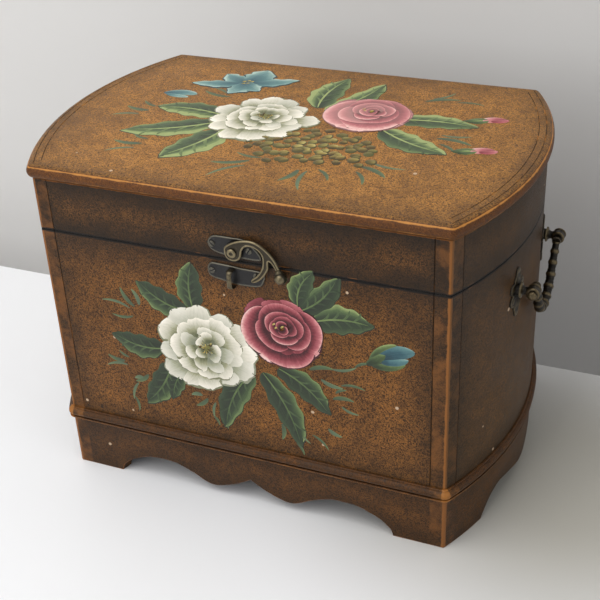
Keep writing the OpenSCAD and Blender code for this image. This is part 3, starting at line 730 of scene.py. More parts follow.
def stroke_piece(name, strokes, face, material):
    """All strokes of one colour family as one piece: each is a closed lens whose rim is sunk."""
    body, slot = {"front": ("case", "crackled_board"), "top": ("lid", "lid_top_paint")}[face]
    verts, faces, stores, count = [], [], ([], [], []), 0
    for grid, *values in strokes:
        rows, columns = grid.shape[:2]
        quads = grid_quads(rows, columns, round_columns=False)
        rim = np.concatenate([np.arange(columns), np.arange(1, rows) * columns + columns - 1,
                              (rows - 1) * columns + np.arange(columns - 2, -1, -1),
                              np.arange(rows - 2, 0, -1) * columns])
        sunk = grid.reshape(-1, 3)[rim].copy()
        sunk[:, 2] = -STROKE_SINK
        low = rows * columns + np.arange(len(rim))
        wall = np.stack([rim, low, np.roll(low, -1), np.roll(rim, -1)], -1)
        area = np.sum(sunk[:, 0] * np.roll(sunk[:, 1], -1) - np.roll(sunk[:, 0], -1) * sunk[:, 1])
        for part in (quads, wall, low[None, ::-1]):
            faces += ((part if area > 0 else part[:, ::-1]) + count).tolist()
        verts += [on_face(grid, face).reshape(-1, 3), on_face(sunk, face)]
        for store, value in zip(stores, values):
            store += [value.ravel(), value.ravel()[rim]]
        count += rows * columns + len(rim)
    light, streak, tint = (np.concatenate(store) for store in stores)
    return build_piece(name, np.concatenate(verts), faces, [material], body,
                       values={"light": light, "streak": streak, "tint": tint}, sharp=70)


def brushed(name, stops, tinted):
    """Brushed oil paint: a ramp of tones over the stroke's light, broken by streaks along it.
    stops begins with the two ends of the ramp."""
    material, tree, shader = new_material(name)
    w = Wiring(tree)
    join = tree.nodes.new("ShaderNodeCombineXYZ")
    w.into(join, X=w.times(w.value("streak"), 5.5), Y=w.times(w.value("light"), 0.9))
    brush = w.noise(join.outputs[0], 2.2, 3, 0.6)
    smear = w.noise(w.place(), 170, 3, 0.6)
    tone = w.sway(brush, 0.4, w.value("light"))
    tone = w.sway(smear, 0.28, tone)
    tone = w.sway(w.noise(w.place(), 700, 2, 0.6), 0.12, tone)
    ramp = tree.nodes.new("ShaderNodeValToRGB")
    for k, (at, shade) in enumerate(stops):
        stop = ramp.color_ramp.elements[k] if k < 2 else ramp.color_ramp.elements.new(at)
        stop.position = at
        stop.color = (*linear(*shade), 1)
    w.feed(tone, ramp.inputs["Fac"])
    w.into(shader, Base_Color=w.mix(w.value("tint"), ramp.outputs["Color"], linear(*tinted)),
           Roughness=0.42, Specular_IOR_Level=0.35)
    w.bump(w.times_plus(brush, 0.6, smear), 0.5, 0.00025, shader)
    return material


WHITE_PAINT = brushed("white_petals", [(0.0, (88, 92, 62)), (1.0, (242, 236, 222)), (0.28, (148, 148, 116)),
                                       (0.58, (204, 200, 182)), (0.82, (228, 222, 206))], (168, 172, 158))
ROSE_PAINT = brushed("rose_petals", [(0.0, (62, 20, 26)), (1.0, (236, 196, 188)), (0.3, (124, 50, 58)),
                                     (0.6, (172, 92, 98)), (0.82, (208, 142, 140))], (226, 172, 166))
LEAF_PAINT = brushed("leaf_green", [(0.0, (24, 30, 20)), (1.0, (156, 168, 106)), (0.28, (42, 54, 34)),
                                    (0.55, (72, 90, 54)), (0.8, (112, 130, 78))], (92, 108, 84))
BLUE_PAINT = brushed("blue_petals", [(0.0, (30, 52, 58)), (1.0, (172, 194, 184)), (0.3, (50, 86, 96)),
                                     (0.62, (90, 128, 128)), (0.85, (134, 164, 156))], (120, 130, 66))
GOLD_PAINT = brushed("gold_dabs", [(0.0, (52, 38, 16)), (1.0, (208, 190, 118)), (0.35, (104, 84, 38)),
                                   (0.65, (150, 130, 66)), (0.85, (184, 164, 92))], (96, 104, 52))


def toward(degrees, squash=1.0):
    """Unit step at an angle on a face, with its upward part times squash."""
    return np.array([math.cos(math.radians(degrees)), math.sin(math.radians(degrees)) * squash])


def peony(name, centre, scale, squash, start, seed, face):
    """An open white flower: four rings of round petals about a green and gold eye.
    Petals of each ring are laid in a shuffled order, dark at the base and white at the tip."""
    rng = np.random.default_rng(seed)
    c = np.array(centre, float)
    eye_at = c + np.array([1.5, 2.5]) * scale
    strokes, layer = [], 0.0
    rings = ((12, 10, 39, 10.8, 0), (9, 7, 30, 10.6, 19), (7, 4, 21, 8.6, 41), (5, 2, 13.5, 5.4, 8))
    for depth, (count, inner, outer, width, turn) in enumerate(rings):
        heart = c + (eye_at - c) * depth / 3
        for k in rng.permutation(count):
            d = toward(start + turn + 360 * k / count + rng.uniform(-7, 7), squash)
            reach = outer * rng.uniform(0.84, 1.08)
            cool = rng.uniform(0.0, 0.4) if rng.uniform() < 0.5 else 0.0
            root = heart + rng.normal(0, 1.1, 2) * scale
            bend, wide = rng.uniform(-3, 3), width * scale * rng.uniform(0.8, 1.18)
            light = (rng.uniform(-0.7, -0.3), rng.uniform(0.85, 1.05), rng.uniform(-0.18, 0.18), 0.16)
            petal = blade(root + d * inner * scale, root + d * reach * scale, bend, wide, 2.5, 1.55,
                          layer=layer, rise=0.3, light=light, tint=cool, ruffle=0.08, seed=rng.uniform(0, 9))
            strokes += shadowed(petal, 0.16)
            layer += 0.35
        layer += 1.0
    stroke_piece(name + "_petals", strokes, face, WHITE_PAINT)
    cup = (6.8 * scale, 0)
    stamens = [blade(eye_at - cup, eye_at + cup, 0, 4.8 * scale * squash, 2, 1.0, layer=layer, swell=0.1,
                     rise=0, light=(0.5, 0.72, 0.12, -0.2), tint=0.7)]
    for k in range(30):
        angle, r = rng.uniform(0, 2 * math.pi), 4.8 * scale * math.sqrt(rng.uniform(0, 1))
        d = np.array([math.cos(angle), math.sin(angle)])
        at = eye_at + r * d * (1, squash)
        away = d * rng.uniform(1.5, 3.0)
        light = (0.0, 0.2, 0, 0) if rng.uniform() < 0.55 else (0.5, 1.0, 0, 0)
        stamens.append(blade(at, at + away, 0, 0.5, 2, 1.3, rows=6, columns=5, layer=layer + 1, swell=0.25,
                             light=light, seed=k))
    stroke_piece(name + "_eye", stamens, face, GOLD_PAINT)


def rose(name, centre, scale, squash, seed, face, pale=0.0):
    """A cupped pink rose: dark petals behind, broad pale-edged ones in front, as (angle, reach,
    width, light), then crescents that close in on a heart above the middle, as (radius, width,
    start, stop, light). pale is the share of the lighter pink."""
    rng = np.random.default_rng(seed)
    c = np.array(centre, float)
    strokes, layer = [], 0.0
    outer = ((148, 30, 13, 0.35), (112, 26, 12, 0.45), (60, 27, 12, 0.6), (12, 29, 13, 0.6),
             (182, 30, 11, 1.0), (212, 30, 11, 1.0), (336, 29, 12, 0.85), (305, 29, 12, 1.0),
             (244, 30, 11, 1.0), (276, 30, 11.5, 1.0))
    for way, reach, width, lit in outer:
        d = toward(way, squash)
        bend = rng.uniform(-2, 2)
        light = (-0.5 + 0.5 * pale, lit + 0.05, rng.uniform(-0.15, 0.15), 0.16 * lit)
        petal = blade(c + d * 6 * scale, c + d * reach * scale, bend, width * scale, 2.7, 1.7, layer=layer,
                      light=light, tint=pale * rng.uniform(0.3, 1), ruffle=0.05, seed=rng.uniform(0, 9))
        strokes += shadowed(petal, 0.02)
        layer += 0.5
    heart = c + np.array([1.5, 3.5]) * scale
    cups = ((20.5, 15, 128, 262, 0.95), (20.5, 13, -70, 62, 0.85), (19.5, 16, 196, 350, 1.0),
            (15.5, 10, 30, 168, 0.8), (14.5, 11, 150, 292, 1.0), (14, 10, 262, 400, 0.95),
            (10.5, 8, 60, 210, 0.85), (10, 8, 200, 330, 1.0), (9.5, 7.5, 320, 440, 0.9),
            (6.6, 6, 20, 170, 0.85), (6.2, 6, 150, 300, 0.95), (5.8, 5.5, 280, 400, 0.9),
            (3.2, 3.8, 40, 230, 0.8), (2.8, 3.6, 220, 400, 0.85))
    for k, (radius, width, start, stop, lit) in enumerate(cups):
        at = c + (heart - c) * min(k / 6, 1) + rng.normal(0, 0.7, 2) * scale
        start, stop = start + rng.uniform(-14, 14), stop + rng.uniform(-14, 14)
        light = (-0.1 + 0.3 * pale, lit * rng.uniform(0.85, 1.15))
        shell = crescent(at, radius * scale, width * scale, start, stop, squash, layer, light,
                         tint=pale * rng.uniform(0.2, 0.9), seed=rng.uniform(0, 9))
        strokes += shadowed(shell, 0.0, 1.03, 0.3)
        layer += 0.55
    stroke_piece(name + "_petals", strokes, face, ROSE_PAINT)
    core = [blade(heart + np.array([x - 1.6, y - 1.0]) * scale, heart + np.array([x + 0.6, y + 1.2]) * scale,
                  0.3, 0.7, 2, 1.2, rows=8, columns=5, layer=layer + 1, light=(0.6, 1.0, 0, 0))
            for x, y in ((-6.5, 1.5), (-5, -1), (-0.5, 0.3))]
    stroke_piece(name + "_heart", core, face, GOLD_PAINT)


def leaf(x, y, tip_x, tip_y, width, bend, layer, seed, bright=1.0):
    """A soft-edged leaf: near black along the middle, lighter green to its wavy edges and more so
    on its lit side, with a pale midrib and curved side veins."""
    base, tip = np.array([x, y], float), np.array([tip_x, tip_y], float)
    run = tip - base
    length = np.hypot(*run)
    ahead = run / length
    left = np.array([-ahead[1], ahead[0]])
    light = (0.3 * (bright - 1), 0.16 + 0.6 * (bright - 1), 0.22 * bright, 0.5 * bright)
    parts = [blade(base, tip, bend, width, 1.8, 0.85, rows=31, columns=15, layer=layer, swell=0.2, rise=0.1,
                   light=light, tint=0.1, ruffle=0.09, seed=seed)]
    for k in range(4):
        v = 0.16 + 0.18 * k
        root = base + run * v + left * bend * 4 * v * (1 - v)
        reach = width * (1 - abs(2 * v ** 0.85 - 1) ** 1.8) ** (1 / 1.8)
        for side, low, high in ((-1, 0.34, 0.26), (1, 0.5, 0.42)):
            end = root + ahead * length * 0.15 + left * side * reach * 0.72
            parts.append(blade(root, end, -side * 1.0, 0.08 * width, 2, 1.0, rows=9, columns=5,
                               layer=layer + 5.0, swell=0.06, rise=0.0,
                               light=(low * bright, high * bright, 0, 0), tint=0.1, seed=seed + k))
    parts.append(blade(base, tip - run * 0.05, bend, 0.055 * width + 0.1, 2, 0.8, rows=15, columns=5,
                       layer=layer + 5.6, swell=0.08, rise=0.0, light=(0.72 * bright, 0.5 * bright, 0, 0),
                       seed=seed))
    return shadowed(parts[0], 0.0, 1.03, 0.4)[:1] + parts


def wisps(seed, x, y, width, ways):
    """Loose tapered strokes from near one root: each way is (dx, dy, angle, length)."""
    parts = []
    for n, (dx, dy, angle, length) in enumerate(ways):
        start = np.array([x + dx, y + dy], float)
        parts.append(blade(start, start + length * toward(angle), length * 0.1 * (-1) ** n,
                           (1.1 + 0.6 * (n % 3 == 0)) * width, 1.8, 0.8, rows=12, columns=5, swell=0.1,
                           rise=0, light=(0.25, 0.62 + 0.2 * (n % 2), 0.12, 0.1), tint=(0.35, 0.7)[n % 2],
                           seed=seed + n))
    return parts


def dabs(*rows):
    """Plain strokes as (base, tip, bend, width, lean, layer, light, seed)."""
    return [blade(base, tip, bend, width, 2.0, lean, layer=layer, light=light, seed=seed)
            for base, tip, bend, width, lean, layer, light, seed in rows]


# The spray on the front: leaves and wisps, a blue bud in its cup, then the rose and the peony.
front_leaves = [
    (-38, 156, -73, 173, 9.5, 3.5, 0, 1.0), (-32, 158, -31, 194, 9.5, 2.5, 0, 2.0),
    (44, 172, 72, 201, 8.5, -3.5, 0, 3.0), (44, 176, 55, 203, 8.0, 3.5, 1, 3.5, 1.15),
    (54, 166, 94, 171, 10.5, 3.0, 0, 4.0, 1.2), (-58, 122, -98, 126, 9.5, 4.0, 0, 5.0),
    (-54, 110, -77, 72, 10.0, 3.0, 0, 6.0), (-44, 106, -56, 80, 7.0, -2.5, 1, 6.5, 0.9),
    (8, 116, -16, 66, 10.0, -4.0, 0, 7.0), (16, 118, 42, 64, 10.0, 3.5, 0, 8.0),
    (28, 124, 63, 96, 9.5, 3.5, 1, 9.0)]
front_wisps = [
    (-78, 150, 1.0, [(0, 2, 125, 17), (-4, 0, 172, 22), (-2, -6, 184, 17), (4, 4, 112, 13)]),
    (-92, 104, 1.0, [(0, 0, 168, 14), (2, -3, 192, 18), (4, 4, 150, 9)]),
    (-74, 96, 1.0, [(0, 0, 215, 14), (-9, -9, 250, 17), (-14, -22, 280, 13), (-4, -4, 190, 8)]),
    (-28, 86, 1.0, [(0, 0, 220, 13), (6, -2, 262, 14), (10, -10, 285, 14), (-4, 2, 190, 9),
                    (3, -14, 300, 9)]),
    (50, 128, 1.0, [(0, 0, 12, 18), (16, 4, 16, 18), (32, 9, 24, 12), (8, -6, -14, 16), (22, -8, 0, 17)]),
    (66, 108, 1.0, [(0, 0, 4, 15), (6, -5, -18, 13), (2, 5, 28, 9)]),
    (28, 78, 1.0, [(0, 0, 268, 14), (12, 0, 305, 15), (22, -4, 318, 16), (34, 4, 335, 11),
                   (10, -14, 300, 11)])]
bud_cup = dabs(((92, 143), (110, 160), 3.0, 2.4, 0.9, 0, (0.25, 0.8, 0.1, 0.2), 3),
               ((92, 142), (116, 146), -2.5, 2.6, 0.9, 0, (0.2, 0.7, 0.1, 0.2), 4),
               ((90, 141), (103, 151), 0, 3.2, 1.1, 4, (0.1, 0.6, 0.1, 0.2), 5))
bud = dabs(((94, 143), (122, 157), 3.0, 5.4, 1.2, 1, (-0.1, 0.5, 0.15, 0.2), 1),
           ((98, 146), (118, 150), -2.0, 3.0, 1.0, 2.5, (0.05, 0.6, 0.1, 0.25), 2))
stroke_piece("front_leaves", sum([leaf(*row) for row in front_leaves], []), "front", LEAF_PAINT)
stroke_piece("front_wisps", sum([wisps(k + 1, *row) for k, row in enumerate(front_wisps)], []), "front",
             LEAF_PAINT)
stroke_piece("front_bud", bud, "front", BLUE_PAINT)
stroke_piece("front_bud_cup", bud_cup, "front", LEAF_PAINT)
rose("front_rose", (32, 154), 0.97, 0.95, 11, "front")
peony("front_peony", (-26, 127), 0.98, 0.93, 5, 21, "front")

# The spray on the lid: leaves, wisps, a blue flower, a field of gold-green dabs and two pink buds.
top_leaves = [
    (-52, -8, -112, -41, 13.0, 4.5, 0, 1.0, 1.6), (-44, -20, -66, -73, 14.0, 3.5, 0, 2.0, 1.6),
    (-56, 2, -108, 5, 12.0, -3.5, 0, 3.0, 1.6), (4, 34, 6, 92, 12.0, 4.0, 0, 4.0, 1.6),
    (12, 30, 36, 88, 10.0, -4.0, 0, 4.5, 1.6), (64, 28, 120, 31, 11.0, 3.5, 0, 5.0, 1.6),
    (60, 10, 111, -17, 12.0, -3.5, 0, 6.0, 1.6)]
top_wisps = [
    (-112, -4, 1.3, [(0, 0, 170, 20), (-4, -8, 200, 20), (2, 8, 150, 16)]),
    (-88, -58, 1.3, [(0, 0, 180, 22), (-2, -8, 210, 20), (0, 8, 160, 14)]),
    (-6, -62, 1.3, [(0, 0, 200, 26), (0, -8, 230, 28), (6, 6, 170, 20)]),
    (30, -66, 1.3, [(0, 0, 250, 20), (6, 0, 280, 28), (12, 4, 310, 18)]),
    (66, -50, 1.3, [(0, 0, 330, 24), (4, 8, 350, 26), (0, -8, 300, 20)]),
    (100, 6, 1.3, [(0, 0, -12, 26), (2, 6, 8, 20), (4, -8, -40, 18)]),
    (74, 66, 1.2, [(0, 0, 20, 26), (4, 6, 50, 20), (22, 4, 0, 20)]),
    (-66, 36, 1.2, [(0, 0, 165, 24), (-6, 6, 150, 14), (30, -2, 40, 16)])]
stroke_piece("top_leaves", sum([leaf(*row) for row in top_leaves], []), "top", LEAF_PAINT)
stroke_piece("top_wisps", sum([wisps(k + 1, *row) for k, row in enumerate(top_wisps)], []), "top", LEAF_PAINT)
blue_heart = np.array([-66.0, 66.0])
blue = []
blue_petals = ((196, 40, 7.5), (20, 38, 8), (150, 24, 9), (78, 27, 13), (262, 24, 10), (318, 21, 9))
for k, (angle, reach, wide) in enumerate(blue_petals):
    d = toward(angle)
    petal = blade(blue_heart - d * 2, blue_heart + d * reach, 3 * (-1) ** k, wide, 1.9, 0.9, rows=23,
                  columns=13, layer=k * 0.5, light=(0.15, 0.8, 0.1, 0.45), ruffle=0.12, seed=k)
    blue += shadowed(petal, 0.1, 1.04, 0.4)
blue += dabs(((-118, 30), (-92, 34), 2.0, 5.0, 1.1, 1, (0.25, 0.75, 0.15, 0.3), 8),
             ((-116, 29), (-96, 27), -1.0, 2.6, 1.1, 2, (0.4, 0.9, 0.1, 0.2), 9))
stroke_piece("top_blue_flower", blue, "top", BLUE_PAINT)
blue_eye = [blade(blue_heart + (a, b), blue_heart + (a + 3, b + 1.5), 0, 0.9, 2, 1.2, rows=7, columns=5,
                  layer=5, light=(0.5, 1.0, 0, 0), seed=a)
            for a, b in ((-4, 0), (-1, 2), (0, -3), (2, 1), (-3, -4))]
stroke_piece("top_blue_eye", blue_eye, "top", GOLD_PAINT)
rng = np.random.default_rng(5)
berries = [blade((-16, -38), (70, -24), -16, 20, 2.2, 1.0, rows=21, columns=9, layer=-0.5, swell=0.02, rise=0,
                 light=(0.0, 0.0, 0.0, 0.1), tint=0.25)]
for row in range(9):
    for k in range(13):
        a = -30 + k * 7.6 + (row % 2) * 3.8 + rng.uniform(-3.2, 3.2)
        b = -8 - row * 6.2 + 0.2 * a + rng.uniform(-2.6, 2.6)
        far_out = ((a - 26) / 50) ** 2 + ((b + 32) / 28) ** 2 + rng.uniform(-0.15, 0.15)
        if far_out < 1:
            tilt = 0.15 + rng.uniform(-0.9, 0.9)
            d = np.array([math.cos(tilt), math.sin(tilt)]) * rng.uniform(5.0, 8.0)
            lit = rng.uniform(0.55, 1.0) * (1.1 - 0.5 * far_out)
            berry = blade((a, b), (a, b) + d, 0.3, rng.uniform(2.6, 3.8), 2.2, 1.0, rows=9, columns=7,
                          layer=row * 0.3 + 0.3, swell=0.5, rise=0, light=(lit * 0.45, lit, 0.25, -0.15),
                          tint=rng.uniform(0, 0.45), seed=k + row)
            berries += shadowed(berry, 0.05, 1.15, 0.6)
stroke_piece("top_berries", berries, "top", GOLD_PAINT)
top_buds, bud_cups = [], []
for c, d in (((119, 42), np.array([1.0, 0.3])), ((124, -9), np.array([1.0, 0.25]))):
    top_buds += [blade(c, c + d * 19, 1.5, 4.6, 2.2, 1.2, layer=1, light=(0.95, 0.25, 0.1, 0.2), seed=1)]
    top_buds += dabs((c + d * 6, c + d * 20, -1.0, 3.0, 1.3, 2.5, (0.2, 0.7, 0.1, 0.2), 2))
    bud_cups += dabs((c - d * 8, c + d * 9, 2.5, 2.6, 0.9, 0, (0.3, 0.8, 0.1, 0.2), 3),
                     (c - d * 8, c + d * 8, -2.5, 2.6, 0.9, 0, (0.2, 0.7, 0.1, 0.2), 4),
                     (c - d * 9, c + d * 3, 0, 2.6, 1.0, 4, (0.3, 0.9, 0.1, 0.2), 5))
stroke_piece("top_buds", top_buds, "top", ROSE_PAINT)
stroke_piece("top_bud_cups", bud_cups, "top", LEAF_PAINT)
rose("top_rose", (43, 33), 1.05, 1.0, 12, "top", pale=0.5)
peony("top_peony", (-27, 5), 0.98, 0.97, 12, 22, "top")

# The latch: stamped plates with a raised rim, a cast hook whose edges are rubbed bright, a bent
# staple, a domed rivet and slotted screws, all in antique brass gone nearly black.
def metal_group():
    """Antique metal: dark patina in hollows and patches, bright where it is rubbed. Ridge is the
    point value that tells how far a point stands out, and Rub the share of the rubbing."""
    group, given, outside = node_group(
        "antique_metal",
        {"Place": (0, 0, 0), "Ridge": 0.0, "Dark": (0, 0, 0, 1), "Bright": (0, 0, 0, 1), "Rub": 0.5},
        {"Color": "Color", "Height": "Float", "Roughness": "Float", "Metallic": "Float"})
    w = Wiring(group)
    patch = w.noise(given["Place"], 300, 4, 0.65)
    fine = w.noise(given["Place"], 1500, 3, 0.6)
    rub = w.times(w.band(w.sway(patch, 0.9, given["Ridge"]), 0.2, 0.85), given["Rub"], clamp=True)
    colour = w.mix(rub, given["Dark"], given["Bright"])
    w.into(outside, Color=w.mix(w.band(fine, 0.55, 0.8, 0, 0.35), colour, linear(26, 23, 20)),
           Height=w.times_plus(patch, 0.8, fine),
           Roughness=w.times_plus(fine, 0.2, w.band(rub, 0, 1, 0.28, 0.18)),
           Metallic=w.band(rub, 0, 1, 0.7, 1.0))
    return group


METAL = metal_group()


def antique(name, dark, bright, rub, grain=0.3):
    """An antique metal in its own dark and bright colours."""
    material, tree, shader = new_material(name)
    w = Wiring(tree)
    metal = w.group(METAL, Place=w.place(), Ridge=w.value("ridge"), Dark=linear(*dark),
                    Bright=linear(*bright), Rub=rub).outputs
    w.into(shader, Base_Color=metal["Color"], Roughness=metal["Roughness"], Metallic=metal["Metallic"])
    w.bump(metal["Height"], grain, 0.0002, shader)
    return material


PLATE_METAL = antique("dark_plate_metal", (44, 43, 43), (108, 104, 92), 0.7, 0.6)
HOOK_METAL = antique("hook_brass", (54, 48, 37), (158, 144, 112), 0.58)
BRONZE = antique("handle_bronze", (30, 26, 21), (134, 118, 88), 0.5, 0.5)
HINGE_METAL = antique("hinge_brass", (112, 90, 52), (196, 168, 108), 0.7)


def metal_piece(name, part, material, body, replaces=(), sharp=45):
    """A fitting from a part, which is vertices in millimetres, faces and the ridge at each vertex."""
    verts, faces, ridge = part
    return build_piece(name, verts * M, faces, [material], body, replaces, values={"ridge": ridge},
                       sharp=sharp)


def gather(parts):
    """Joins several parts into one."""
    counts = np.cumsum([0] + [len(verts) for verts, _, _ in parts])
    faces = [[i + n for i in face] for part, n in zip(parts, counts) for face in part[1]]
    ridge = [np.broadcast_to(ridge, len(verts)) for verts, _, ridge in parts]
    return np.concatenate([verts for verts, _, _ in parts]), faces, np.concatenate(ridge)


def closed_outline(points):
    """Closed smooth curve through the points, turning left all round."""
    p = np.asarray(points, float)
    curve = spline(np.roll(p, 1, 0), p, np.roll(p, -1, 0), np.roll(p, -2, 0), 8)
    area = np.sum(curve[:, 0] * np.roll(curve[:, 1], -1) - np.roll(curve[:, 0], -1) * curve[:, 1])
    return curve if area > 0 else curve[::-1]


def inward(outline):
    """Unit inward normals of a left-turning outline, and at each point the radius of the largest
    circle that touches it there from inside, so that a rim offset by less never crosses itself."""
    ahead = np.roll(outline, -1, 0) - np.roll(outline, 1, 0)
    ahead /= np.linalg.norm(ahead, axis=1, keepdims=True)
    normal = np.stack([-ahead[:, 1], ahead[:, 0]], -1)
    gap = outline[None, :, :] - outline[:, None, :]
    reach = np.einsum("ijk,ik->ij", gap, normal)
    room = np.where(reach > 1e-6, (gap ** 2).sum(-1) / (2 * np.maximum(reach, 1e-6)), 1e3)
    room = room.min(1)
    for _ in range(6):
        room = np.minimum(room, 0.25 * np.roll(room, 1) + 0.5 * room + 0.25 * np.roll(room, -1))
    return normal, room


def stamped(name, line, middle, back, profile, material, node, body):
    """A flat fitting on the front face, from the line of its outline about middle. profile lists
    (inset, forward, ridge) rings from the back edge round to the middle of the front; a ring's
    inset is limited to 0.8 of the room at each point."""
    outline = closed_outline(line)
    normal, room = inward(outline)
    inset, forward, ridge = np.array(profile)[:, :, None].transpose(1, 0, 2)
    rings = outline + normal * np.minimum(inset, 0.8 * room)[..., None]
    verts = np.stack([rings[..., 0] + middle[0], -back - forward + 0 * rings[..., 0],
                      rings[..., 1] + middle[1]], -1)
    rows, columns = rings.shape[:2]
    part = (verts.reshape(-1, 3), loop_faces(rows, columns), np.repeat(ridge[:, 0], columns))
    metal_piece(name, part, material, body, [node], 50)


UPPER_LINE = [(-18, 3.4), (-16.4, 7.4), (-12.5, 9.3), (-2.6, 9.5), (7.8, 9.1), (14, 5), (18.8, -1.2),
              (17.2, -4.4), (4.7, -4.4), (-7.9, -3.7), (-15.5, -1.3)]
LOWER_LINE = [(-17.3, 4.6), (-14.8, 8.7), (-7.6, 8.9), (0.9, 8.5), (6.5, 8.1), (17.7, 7.8), (23.1, 5.9),
              (22, -0.2), (18.3, -3.9), (5.5, -4.8), (-7.2, -3.3), (-15.7, -1.1)]
HOOK_LINE = [(-5.5, 0.5), (-4.5, 4.3), (1.4, 8.1), (7.8, 10.2), (14, 10.6), (19.3, 9), (23.9, 5.8),
             (27.7, 1.9), (30.2, -2), (32, -6), (33.9, -10), (31.2, -11), (29.4, -7), (27.4, -3.6),
             (25.2, -2.4), (24.8, -7.5), (22.4, -12.2), (19, -16.4), (15.4, -19), (12.4, -19.4),
             (12.8, -17), (16.2, -13.9), (19.4, -9.4), (21, -4.6), (20.9, 0.4), (19, 3.9), (15.1, 6.1),
             (10.2, 6), (7.2, 2.6), (6.2, -1.9), (4, -4.8), (0, -5.9), (-4, -4.1)]
PIVOT = np.array([1.9, SEAM / M + 7.5])
STAPLE_AT = np.array([-0.5, SEAM / M - 12.4])
FRONT = HALF_D / M
PLATE_RIM = [(0.0, 0.0, 0.2), (0.0, 0.75, 0.5), (0.12, 1.05, 1.0), (0.4, 1.2, 1.0), (0.9, 1.2, 0.8),
             (1.25, 1.0, 0.15), (1.7, 0.92, 0.0), (3.0, 0.95, 0.05)]
HOOK_RIM = [(0.5, 0.0, 0.2), (0.1, 0.2, 0.3), (0.0, 0.55, 0.6), (0.0, 1.0, 0.9), (0.15, 1.35, 1.0),
            (0.45, 1.55, 1.0), (0.85, 1.6, 0.95), (1.2, 1.45, 0.5), (1.55, 1.25, 0.1), (2.2, 1.2, 0.15)]
HOOK_BACK = 2.5
stamped("hook_plate_stamped", UPPER_LINE, PIVOT, FRONT, PLATE_RIM, PLATE_METAL, "hook_plate", "lid")
stamped("keeper_plate_stamped", LOWER_LINE, STAPLE_AT, FRONT, PLATE_RIM, PLATE_METAL, "keeper_plate",
        "case")
stamped("latch_hook_cast", HOOK_LINE, PIVOT, FRONT + HOOK_BACK, HOOK_RIM, HOOK_METAL, "latch_hook",
        "hook")


def turned(profile, ridge, steps=32):
    """A closed turned part about the third axis from (radius, along) points, the first and last on
    the axis, with a ridge for each or one for all."""
    profile = np.asarray(profile, float)
    ridge = np.broadcast_to(ridge, len(profile))
    turn = np.linspace(0, 2 * np.pi, steps, endpoint=False)
    body = profile[1:-1]
    rings = np.stack([body[:, :1] * np.cos(turn), body[:, :1] * np.sin(turn), body[:, 1:] + 0 * turn], -1)
    verts = np.concatenate([rings.reshape(-1, 3), [[0, 0, profile[0, 1]], [0, 0, profile[-1, 1]]]], 0)
    return (verts, spun_faces(len(body), steps),
            np.concatenate([np.repeat(ridge[1:-1], steps), [ridge[0], ridge[-1]]]))


def on_wall(part, x, z, proud, way=-1):
    """A part about the third axis, stood at x, z on the front wall, or on the back one (way 1)."""
    verts, faces, ridge = part
    verts = np.stack([verts[:, 0] + x, way * (FRONT + proud + verts[:, 2]), -way * verts[:, 1] + z], -1)
    return verts, faces, ridge


def screw(turn, radius=2.2, height=0.8):
    """A domed round head cut by a slot: the height falls as the radius squared, and drops by the
    slot's depth where the distance from its middle line is small."""
    slot_half, slot_deep, under, steps = 0.28, 0.42, -0.2, 40
    shares = np.array([0.12, 0.26, 0.4, 0.54, 0.68, 0.8, 0.9, 0.97, 1.0, 1.0])
    angle = np.linspace(0, 2 * np.pi, steps, endpoint=False)
    x, y = radius * shares[:, None] * np.cos(angle), radius * shares[:, None] * np.sin(angle)
    dome = height * np.sqrt(np.clip(1 - 0.75 * shares ** 2, 0, 1))[:, None]
    cut = np.clip(1.6 - np.abs(-x * math.sin(turn) + y * math.cos(turn)) / slot_half, 0, 1) * slot_deep
    z = dome - cut
    z[-2] = np.minimum(z[-2], 0.25 * height)
    z[-1] = under
    rings = np.stack([x, y, z], -1)[::-1]
    verts = np.concatenate([rings.reshape(-1, 3), [[0, 0, under], [0, 0, height - slot_deep]]], 0)
    ridge = np.concatenate([(0.75 - 1.8 * cut)[::-1].ravel(), [0.2, 0.0]])
    return verts, spun_faces(len(shares), steps), ridge


def screws(node, spots, proud, material, body, way=-1):
    """Screws at (x, z, slot angle) on the front or back wall."""
    parts = [on_wall(screw(math.radians(turn)), x, z, proud, way) for x, z, turn in spots]
    metal_piece(node + "_slotted", gather(parts), material, body, [node])


keeper_spots = [(STAPLE_AT[0] - 14.1, STAPLE_AT[1] + 3.2, 25), (STAPLE_AT[0] + 17.3, STAPLE_AT[1] + 4, 70)]
upper_spots = [(PIVOT[0] - 15, PIVOT[1] + 3.1, 140), (PIVOT[0] + 10.7, PIVOT[1] + 1.7, 60)]
screws("keeper_screws", keeper_spots, 1.0, PLATE_METAL, "case")
screws("hook_plate_screws", upper_spots, 1.0, PLATE_METAL, "lid")
leaf_low, leaf_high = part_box("right_hinge_case_leaf")
HINGE_X = (leaf_low.x + leaf_high.x) / 2 / M
KNUCKLE_GAP, SCREW_OFF_SEAM = 0.3, 10.88
SCREW_ASIDE = ((leaf_high.x - leaf_low.x) / M + KNUCKLE_GAP) / 3.4
for node, way, body in (("hinge_case_screws", -1, "case"), ("hinge_lid_screws", 1, "lid")):
    spots = [(hinge * HINGE_X + aside * SCREW_ASIDE, SEAM / M + way * SCREW_OFF_SEAM, 40 + 50 * aside)
             for hinge in (-1, 1) for aside in (-1, 1)]
    screws(node, spots, 1.2, HINGE_METAL, body, way=1)

